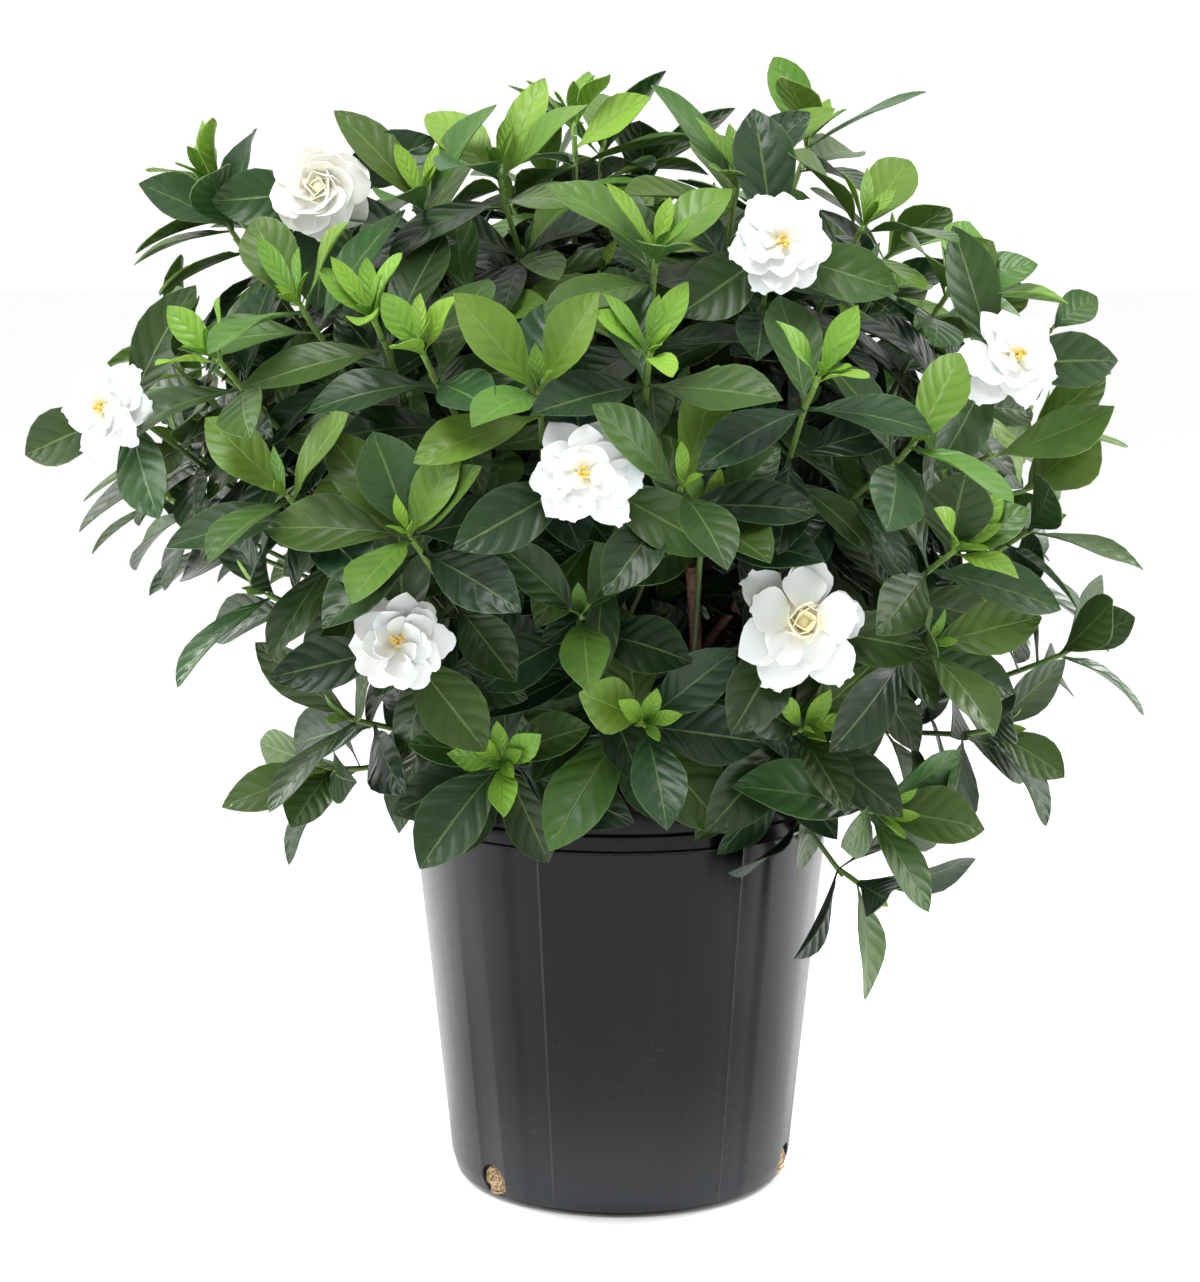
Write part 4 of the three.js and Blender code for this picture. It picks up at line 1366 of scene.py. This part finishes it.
for arm in young:
    leaves, stem = Heap("blade"), Heap("stem")
    heap_leaves(leaves, arm.young_leaves)
    dress(leaves.build(f"{arm.young_name}_leaves"), LEAF_FINISH, [arm.young_name])
    *heights, top = YOUNG_SHOOT
    rows = [(height, ARM_TIP_RADIUS) for height in heights]
    add_column(stem, arm.end, arm.axis, rows, SHOOT_SIDES, 0.95, top, step=2)
    dress(stem.build(f"{arm.young_name}_shoot"), SHOOT_FINISH, [arm.young_name])

SECTORS = 8
TWIG_SIDES = 7
TWIG_RADII = [2.1, 1.7, 1.4]
TWIG_TIP = 4
twig_leaves = [Heap("blade") for _ in range(SECTORS)]
twig_stems, twig_ends = Heap("stem"), Heap("stem")
for twig in twigs:
    turn = math.atan2(twig.end[0], -twig.end[1]) / FULL_TURN % 1
    heap_leaves(twig_leaves[int(turn * SECTORS)], twig.leaves)
    twig_stems.add_tube(twig.path[:3], TWIG_RADII, TWIG_SIDES, step=6)
    tip = twig.end + twig.axis * TWIG_TIP
    twig_ends.add_tube(twig.path[2:], TWIG_RADII[-1:] * 2, TWIG_SIDES, (0.25, 0.8), tip, step=6)
for number, heap in enumerate(twig_leaves):
    dress(heap.build(f"inner_leaves_{number + 1}"), LEAF_FINISH)
twig_stems.add_tube(CUT_STEM, CUT_STEM_RADII, 12, step=6)
dress(twig_stems.build("inner_twigs"), BARK_FINISH)
dress(twig_ends.build("inner_shoots"), SHOOT_FINISH)

# Wood
TRUNK_SIDES, BRANCH_SIDES = 16, 10
KNEE_LIFT, CROWN_OVERLAP = 5, 6
wood = Heap("stem")
foot = vec(0, 0, MIX_TOP - TRUNK_DEPTH + SEAT)
collar = vec(0, 0, MIX_TOP + 4)
radii = [TRUNK_RADIUS, TRUNK_RADIUS, LIMB_RADIUS + 1]
wood.add_tube([foot, collar, CROWN + 4 * UP], radii, TRUNK_SIDES)
for number in sorted({spray.limb for spray in sprays}):
    fork = next(spray.fork for spray in sprays if spray.limb == number)
    knee = (CROWN + fork) / 2 + KNEE_LIFT * UP
    radii = [LIMB_RADIUS + 1, LIMB_RADIUS, BRANCH_RADIUS + 0.4]
    wood.add_tube([CROWN - CROWN_OVERLAP * UP, knee, fork], radii, BRANCH_SIDES)
for spray in sprays:
    radii = [BRANCH_RADIUS, BRANCH_TIP_RADIUS]
    wood.add_tube([spray.fork, spray.base], radii, BRANCH_SIDES)
dress(wood.build("branches"), BARK_FINISH, ["woody_stems"])

# Blooms: whorls of petals, from the outermost in. Each whorl is a count, the first petal's
# angle, the lean from the bloom's axis, the size and width, the arch, fold and swirl, how
# cream it is from 0, white, to 1, and the petals that it draws from
WHORL_FIELDS = "count start pitch size width arch fold swirl cream kinds".split()
BLOOM_WHORLS = {
    "open": [
        (6, 0, 90, 1.0, 1.0, 10, 6, 12, 0, [POINTED, RAGGED, NOTCHED]),
        (6, 30, 80, 0.88, 0.95, 8, 8, 12, 0, [POINTED, RAGGED]),
        (5, 12, 66, 0.7, 0.85, 10, 10, 14, 0, [POINTED, RAGGED]),
        (5, 50, 52, 0.5, 0.68, 8, 12, 14, 0.08, [ROUND, RAGGED]),
    ],
    "star": [
        (6, 0, 92, 1.1, 1.0, 8, 4, 14, 0, [POINTED, NOTCHED, POINTED, RAGGED]),
        (6, 25, 82, 0.84, 1.0, 8, 6, 12, 0, [POINTED, NOTCHED]),
        (5, 10, 68, 0.56, 0.85, 8, 8, 12, 0.05, [ROUND, RAGGED]),
        (3, 40, 48, 0.38, 0.55, 10, 10, 12, 0.15, [ROUND]),
    ],
    "spiral": [
        (7, 0, 94, 1.02, 1.15, 14, 4, 8, 0.14, [ROUND, RAGGED]),
        (6, 20, 80, 0.92, 1.15, 4, 6, 12, 0.16, [ROUND]),
        (6, 8, 62, 0.78, 1.15, -16, 8, 16, 0.2, [ROUND]),
        (5, 40, 48, 0.6, 1.0, -18, 8, 20, 0.28, [ROUND]),
        (5, 10, 34, 0.46, 0.8, -14, 10, 24, 0.4, [ROUND]),
        (4, 0, 22, 0.36, 0.7, -10, 12, 28, 0.6, [ROUND]),
    ],
    "loose": [
        (6, 14, 90, 1.14, 1.06, 10, 4, 8, 0.05, [POINTED, NOTCHED, RAGGED]),
        (5, 40, 80, 0.8, 1.0, 8, 6, 10, 0.08, [RAGGED, NOTCHED]),
        (5, 0, 36, 0.44, 0.75, -14, 10, 12, 0.5, [ROUND]),
        (4, 30, 22, 0.38, 0.65, -10, 12, 16, 0.9, [ROUND]),
    ],
}
# The blooms' styles in their nodes' order: seven that the photograph shows, three behind
BLOOM_STYLES = "spiral open open open star star loose open spiral star".split()
ANTHER_COUNTS = {"open": 5, "star": 5, "loose": 0, "spiral": 0}
# The blooms whose innermost petals are still a closed bud, and how cream it is
CLOSED_HEARTS = {"loose": 0.95, "spiral": 0.6}
# Heights and radii of what stands on a bloom's axis, above its foot and above its heart
CALYX_TUBE = [(0.3, 2.0), (4, 2.6), (7.4, 2.6), (8.6, 3.2), (9.2, 3.0)]
THROAT = [(8.7, 3.6), (10.4, 3.2)]
CLOSED_BUD, CLOSED_BUD_TOP = [(10, 2.6), (12.5, 4.0), (15, 3.6), (17, 2.2)], 18.4
PISTIL, PISTIL_TOP = [(0, 0.8), (3, 1.0), (5, 1.3)], 6
SEPALS, ANTHER_RING = 6, 5
SEPAL_RADII, ANTHER_RADII = [0.9, 0.8, 0.3], [0.5, 0.9, 1.2]
# Petals grow from this height, the upright ones from a little higher, and this far out
PETAL_HEIGHT, PETAL_RISE, PETAL_OUT = 9.4, 2.6, 3.2
PETAL_FINISH = petal_finish()
POLLEN_FINISH = [anther_finish()]


def petal_whorl(heap, arm, whorl, roll):
    for k in range(whorl.count):
        angle = (whorl.start + (k + 0.35 * (roll() - 0.5)) * 360 / whorl.count) * DEGREE
        spoke = spoke_from(arm.axis, angle)
        height = PETAL_HEIGHT + PETAL_RISE * (1 - whorl.pitch / 90)
        root = arm.end + arm.axis * height + spoke * PETAL_OUT * math.sin(whorl.pitch * DEGREE)
        pose = lean_out(root, arm.axis, spoke, whorl.pitch + 8 * (roll() - 0.5) + 4 * (k % 2))
        pose.up = turned(pose.up, pose.way, whorl.swirl)
        petal = Part(
            root=pose.root,
            way=pose.way,
            up=pose.up,
            length=PETAL_LENGTH * whorl.size * arm.bloom_size * (0.9 + 0.2 * roll()),
            half_width=PETAL_HALF_WIDTH * whorl.width * arm.bloom_size * (0.92 + 0.16 * roll()),
            arch=whorl.arch * DEGREE * (0.7 + 0.6 * roll()),
            fold=whorl.fold * DEGREE,
            wave=2.0 * whorl.size * (0.5 + roll()),
            phase=FULL_TURN * roll(),
            cup=0.9,
            skew=8 * whorl.size * (roll() - 0.5),
        )
        pattern = PETALS[whorl.kinds[int(roll() * len(whorl.kinds))]]
        heap.add_copy(pattern, bend(pattern.points, pattern.outline, petal), whorl.cream)


for number, arm in enumerate(blooms):
    style = BLOOM_STYLES[number]
    roll = dice(BLOOM_SEED, number)
    petals = Heap("blade")
    for row in BLOOM_WHORLS[style]:
        petal_whorl(petals, arm, Part(**dict(zip(WHORL_FIELDS, row))), roll)
    add_column(petals, arm.end, arm.axis, THROAT, 12, 0.3, step=1)
    if style in CLOSED_HEARTS:
        cream = CLOSED_HEARTS[style]
        add_column(petals, arm.end, arm.axis, CLOSED_BUD, 10, cream, CLOSED_BUD_TOP, step=1)
    name = f"{number + 1:02d}"
    node = f"bloom_petals_{name}"
    dress(petals.build(f"bloom_{name}_petals", 70), [PETAL_FINISH] * 2, [node])
    tube = Heap("stem")
    add_column(tube, arm.end, arm.axis, CALYX_TUBE, 12, 0.7)
    for k in range(SEPALS):
        spoke = spoke_from(arm.axis, k / SEPALS * FULL_TURN)
        start = arm.end + arm.axis * 5 + spoke * 2.4
        line = [start, start + arm.axis * 2 + spoke * 2, start + arm.axis * 2.6 + spoke * 6.5]
        tube.add_tube(line, SEPAL_RADII, 5, 0.8)
    dress(tube.build(f"bloom_{name}_calyx"), SHOOT_FINISH, [node])
    centre = Heap("stem")
    heart = arm.end + arm.axis * (CUP_HEIGHT - 0.4)
    add_column(centre, heart, arm.axis, PISTIL, 8, tip=PISTIL_TOP)
    for k in range(ANTHER_COUNTS[style]):
        spoke = spoke_from(arm.axis, (k + 0.7 * roll()) / ANTHER_RING * FULL_TURN)
        top = heart + arm.axis * (4.5 + 2 * roll()) + spoke * (1.8 + 1.8 * roll())
        line = [heart, heart + arm.axis * 3 + spoke * 1.2, top]
        centre.add_tube(line, ANTHER_RADII, 7, tip=top + arm.axis * 0.9, step=1.5)
    dress(centre.build(f"bloom_{name}_centre"), POLLEN_FINISH, [f"bloom_centre_{name}"])


# Pot
def turn_up(name, profile, sides):
    """A vessel or body that is drawn up ring by ring from a circle, and closed at both ends."""
    bpy.ops.object.select_all(action="DESELECT")
    radius, height = profile[0]
    bpy.ops.mesh.primitive_circle_add(
        vertices=sides, radius=radius * MM, fill_type="NGON", location=(0, 0, height * MM)
    )
    bpy.ops.object.transform_apply(location=True)
    body = bpy.context.object
    body.name = body.data.name = name
    bpy.ops.object.mode_set(mode="EDIT")
    bpy.ops.mesh.select_all(action="SELECT")
    for (r0, z0), (r1, z1) in zip(profile, profile[1:]):
        bpy.ops.mesh.extrude_region_move(TRANSFORM_OT_translate={"value": (0, 0, (z1 - z0) * MM)})
        bpy.ops.transform.resize(value=(r1 / r0, r1 / r0, 1))
    bpy.ops.mesh.select_all(action="SELECT")
    bpy.ops.mesh.normals_make_consistent(inside=False)
    bpy.ops.object.mode_set(mode="OBJECT")
    return body


POT_PROFILE = [
    (FOOT_RADIUS, 0),
    (CHAMFER_RADIUS - 3, 4),
    (CHAMFER_RADIUS, CHAMFER_HEIGHT),
    (SHOULDER_RADIUS, BAND_BOTTOM - 2),
    (RIM_RADIUS - 1.4, BAND_BOTTOM - 0.4),
    (RIM_RADIUS - 1.4, BAND_BOTTOM + 0.2),
    (RIM_RADIUS - 2.4, BAND_BOTTOM + 1.2),
    (RIM_RADIUS - 1.2, BAND_GROOVE - 1),
    (RIM_RADIUS - 2.8, BAND_GROOVE),
    (RIM_RADIUS, BAND_GROOVE + 1.5),
    (RIM_RADIUS, POT_HEIGHT),
    (RIM_RADIUS - WALL, POT_HEIGHT),
    (SHOULDER_RADIUS - WALL, BAND_BOTTOM - 2),
    (CHAMFER_RADIUS - WALL, CHAMFER_HEIGHT),
    (FOOT_RADIUS, FLOOR),
]
WALL_TAPER = 0.103
POT_CREASE = 32


def is_in_step(co, middle, side, low, high):
    """Whether a point of the outer wall lies between two turns of a flute."""
    turn = math.degrees(math.atan2(co.x, -co.y)) - middle
    offset = side * ((turn + 180) % 360 - 180)
    height = co.z / MM
    wall = CHAMFER_RADIUS - 1 + (height - CHAMFER_HEIGHT) * WALL_TAPER
    is_outer = math.hypot(co.x, co.y) > wall * MM
    return low < offset < high and CHAMFER_HEIGHT - 1 < height < BAND_BOTTOM - 1 and is_outer


def drain_ways():
    """The way out through each drain hole."""
    for k in range(DRAIN_COUNT):
        angle = (FIRST_DRAIN + k * 360 / DRAIN_COUNT) * DEGREE
        yield vec(math.sin(angle), -math.cos(angle), 0)


pot = turn_up("growers_pot", POT_PROFILE, 360)
bpy.ops.object.mode_set(mode="EDIT")
for flute in FLUTES:
    for low, high, depth in FLUTE_STEPS:
        pick(pot, lambda co: is_in_step(co, *flute, low, high))
        share = 1 - depth / SHOULDER_RADIUS
        bpy.ops.transform.resize(value=(share, share, 1), center_override=(0, 0, 0))
bpy.ops.object.mode_set(mode="OBJECT")
for out in drain_ways():
    bpy.ops.object.select_all(action="DESELECT")
    place = Vector(out) * (CHAMFER_RADIUS - 2) * MM + Vector((0, 0, DRAIN_HEIGHT * MM))
    bpy.ops.mesh.primitive_uv_sphere_add(
        segments=32, ring_count=16, radius=DRAIN_RADIUS * MM, location=place
    )
    cutter = bpy.context.object
    apply_modifier(pot, "BOOLEAN", operation="DIFFERENCE", object=cutter, solver="EXACT")
    bpy.data.objects.remove(cutter)
limits = {"limit_method": "ANGLE", "angle_limit": POT_CREASE * DEGREE}
apply_modifier(pot, "BEVEL", width=0.5 * MM, segments=2, **limits)
smooth(pot, POT_CREASE)
dress(pot, [plastic_finish()], ["pot"])

# Potting mix: the root ball, bark chips on top, and roots in the drain holes
TRUNK_HOLE = TRUNK_RADIUS + 1.5
MIX_PROFILE = [
    (FOOT_RADIUS - 1, FLOOR + SEAT),
    (CHAMFER_RADIUS - WALL - 1, CHAMFER_HEIGHT + 1),
    (104, 74),
    (111, 140),
    (SHOULDER_RADIUS - WALL - 1, MIX_TOP - 4),
    (SHOULDER_RADIUS - 8, MIX_TOP - 1),
    *((r, MIX_TOP + 1 + (107 - r) * 0.02) for r in range(104, 14, -6)),
    (TRUNK_HOLE, MIX_TOP + 3),
    (TRUNK_HOLE, MIX_TOP - TRUNK_DEPTH),
]
# The top of the mix round the trunk is even, and clear of chips
COLLAR = 14
mix = turn_up("root_ball", MIX_PROFILE, 120)
for vertex in mix.data.vertices:
    radius = math.hypot(vertex.co.x, vertex.co.y) / MM
    if vertex.co.z > (MIX_TOP - 2) * MM and radius > COLLAR:
        heaps, lumps = noise.noise(vertex.co * 55), noise.noise(vertex.co * 150)
        vertex.co.z += 2.6 * MM * heaps + 1.6 * MM * lumps
smooth(mix, 60)
dress(mix, [mix_finish()], ["potting_mix"])

CHIP_COUNT, CHIP_REACH = 520, 100
bpy.ops.object.select_all(action="DESELECT")
bpy.ops.mesh.primitive_cube_add(size=2)
chip = bpy.context.object
bpy.ops.object.mode_set(mode="EDIT")
bpy.ops.mesh.select_all(action="SELECT")
bpy.ops.mesh.subdivide(number_cuts=1)
bpy.ops.object.mode_set(mode="OBJECT")
for vertex in chip.data.vertices:
    vertex.co *= 1 + 0.3 * noise.noise(vertex.co * 1.7)
CHIP = Pattern(chip, (1, 1, 1))
chips = Heap("chip")
roll = dice(MIX_SEED)
for _ in range(CHIP_COUNT):
    radius, angle = COLLAR + CHIP_REACH * math.sqrt(roll()), FULL_TURN * roll()
    size = vec(2 + 5 * roll(), 1.5 + 3 * roll(), 0.8 + 1.2 * roll())
    spin, tilt = FULL_TURN * roll(), 0.7 * (roll() - 0.5)
    along = vec(math.cos(spin), math.sin(spin), tilt)
    side = unit(np.cross(UP, along))
    axes = np.array([unit(along), side, np.cross(unit(along), side)])
    place = vec(radius * math.cos(angle), radius * math.sin(angle), MIX_TOP + 2.6 + 1.5 * roll())
    chips.add_copy(CHIP, place + (CHIP.points * size) @ axes)
dress(chips.build("bark_chips", 30), [mix_finish()])

ROOT_COUNT = 110
ROOT_DEPTH, ROOT_SPREAD = 4.6, 19
roots = Heap("stem")
for out in drain_ways():
    side = np.cross(UP, out)
    middle = out * (CHAMFER_RADIUS - ROOT_DEPTH) + UP * DRAIN_HEIGHT
    for _ in range(ROOT_COUNT):
        lean = math.pi * roll()
        way = side * math.cos(lean) + UP * math.sin(lean)
        across = np.cross(out, way)
        centre = middle + across * ROOT_SPREAD * (roll() - 0.5) + out * 3 * (roll() - 0.6)
        bow = out * (1 + 2 * roll()) + across * 3 * (roll() - 0.5)
        half = 6 + 4 * roll()
        low, high = centre - way * half - out * 3, centre + way * half - out * 3
        line = np.array([low, centre + bow, high])
        line[:, 2] = np.maximum(line[:, 2], FLOOR + 1)
        width = 0.35 + 0.45 * roll()
        roots.add_tube(line, [width, width, width * 0.6], 5, step=3)
dress(roots.build("fine_roots"), [root_finish()])


# Floor, backdrop and studio light
def light_world(world):
    """White all round, but dim low down on the camera's side, as in a studio."""
    recipe = Recipe(world, "Background", Color=(1, 1, 1))
    _, y, z = recipe.split(recipe.coordinates("Generated"))
    dim = y.step(-0.25, -0.85) * z.step(0.75, 0.25)
    recipe.set(
        Strength=recipe.node("ShaderNodeMapRange", {0: dim, 3: WORLD_LIGHT, 4: WORLD_DIM})
    )


def studio():
    bpy.ops.object.select_all(action="DESELECT")
    bpy.ops.mesh.primitive_plane_add(size=30)
    floor = bpy.context.object
    floor.name = "studio_floor"
    recipe = material_recipe("pale_floor", Roughness=0.9)
    colour = recipe.mix(recipe.noise(3, 2), (0.88, 0.88, 0.88), (0.9, 0.9, 0.9))
    floor.data.materials.append(recipe.set(Base_Color=colour))
    bpy.context.scene.world = bpy.data.worlds.new("soft_white")
    light_world(bpy.context.scene.world)
    bpy.context.scene.view_settings.view_transform = "Standard"
    # Each light: its place, what it is turned to, its size, its power and its spread. The
    # two washes whiten the floor that the pot's flanks mirror
    lights = [
        ("sky_panel", (-0.5, -1.1, 2.3), (0, 0, 0.35), (1.0, 1.0), 40, 180),
        ("left_panel", (-2.0, -0.2, 0.6), (0, 0, 0.35), (1.2, 1.6), 30, 180),
        ("right_panel", (2.0, 0.0, 0.6), (0, 0, 0.35), (1.2, 1.6), 30, 180),
        ("left_wash", (-1.0, 0.4, 0.8), (-0.45, 0.15, 0), (0.4, 0.4), 2.5, 70),
        ("right_wash", (1.0, 0.4, 0.8), (0.45, 0.15, 0), (0.4, 0.4), 3, 70),
    ]
    for name, place, target, (width, height), power, spread in lights:
        bpy.ops.object.light_add(type="AREA", location=place)
        light = bpy.context.object
        light.name = name
        light.data.shape = "RECTANGLE"
        light.data.size, light.data.size_y = width, height
        light.data.energy = power
        light.data.spread = spread * DEGREE
        light.rotation_euler = (Vector(target) - Vector(place)).to_track_quat("-Z", "Y").to_euler()


studio()
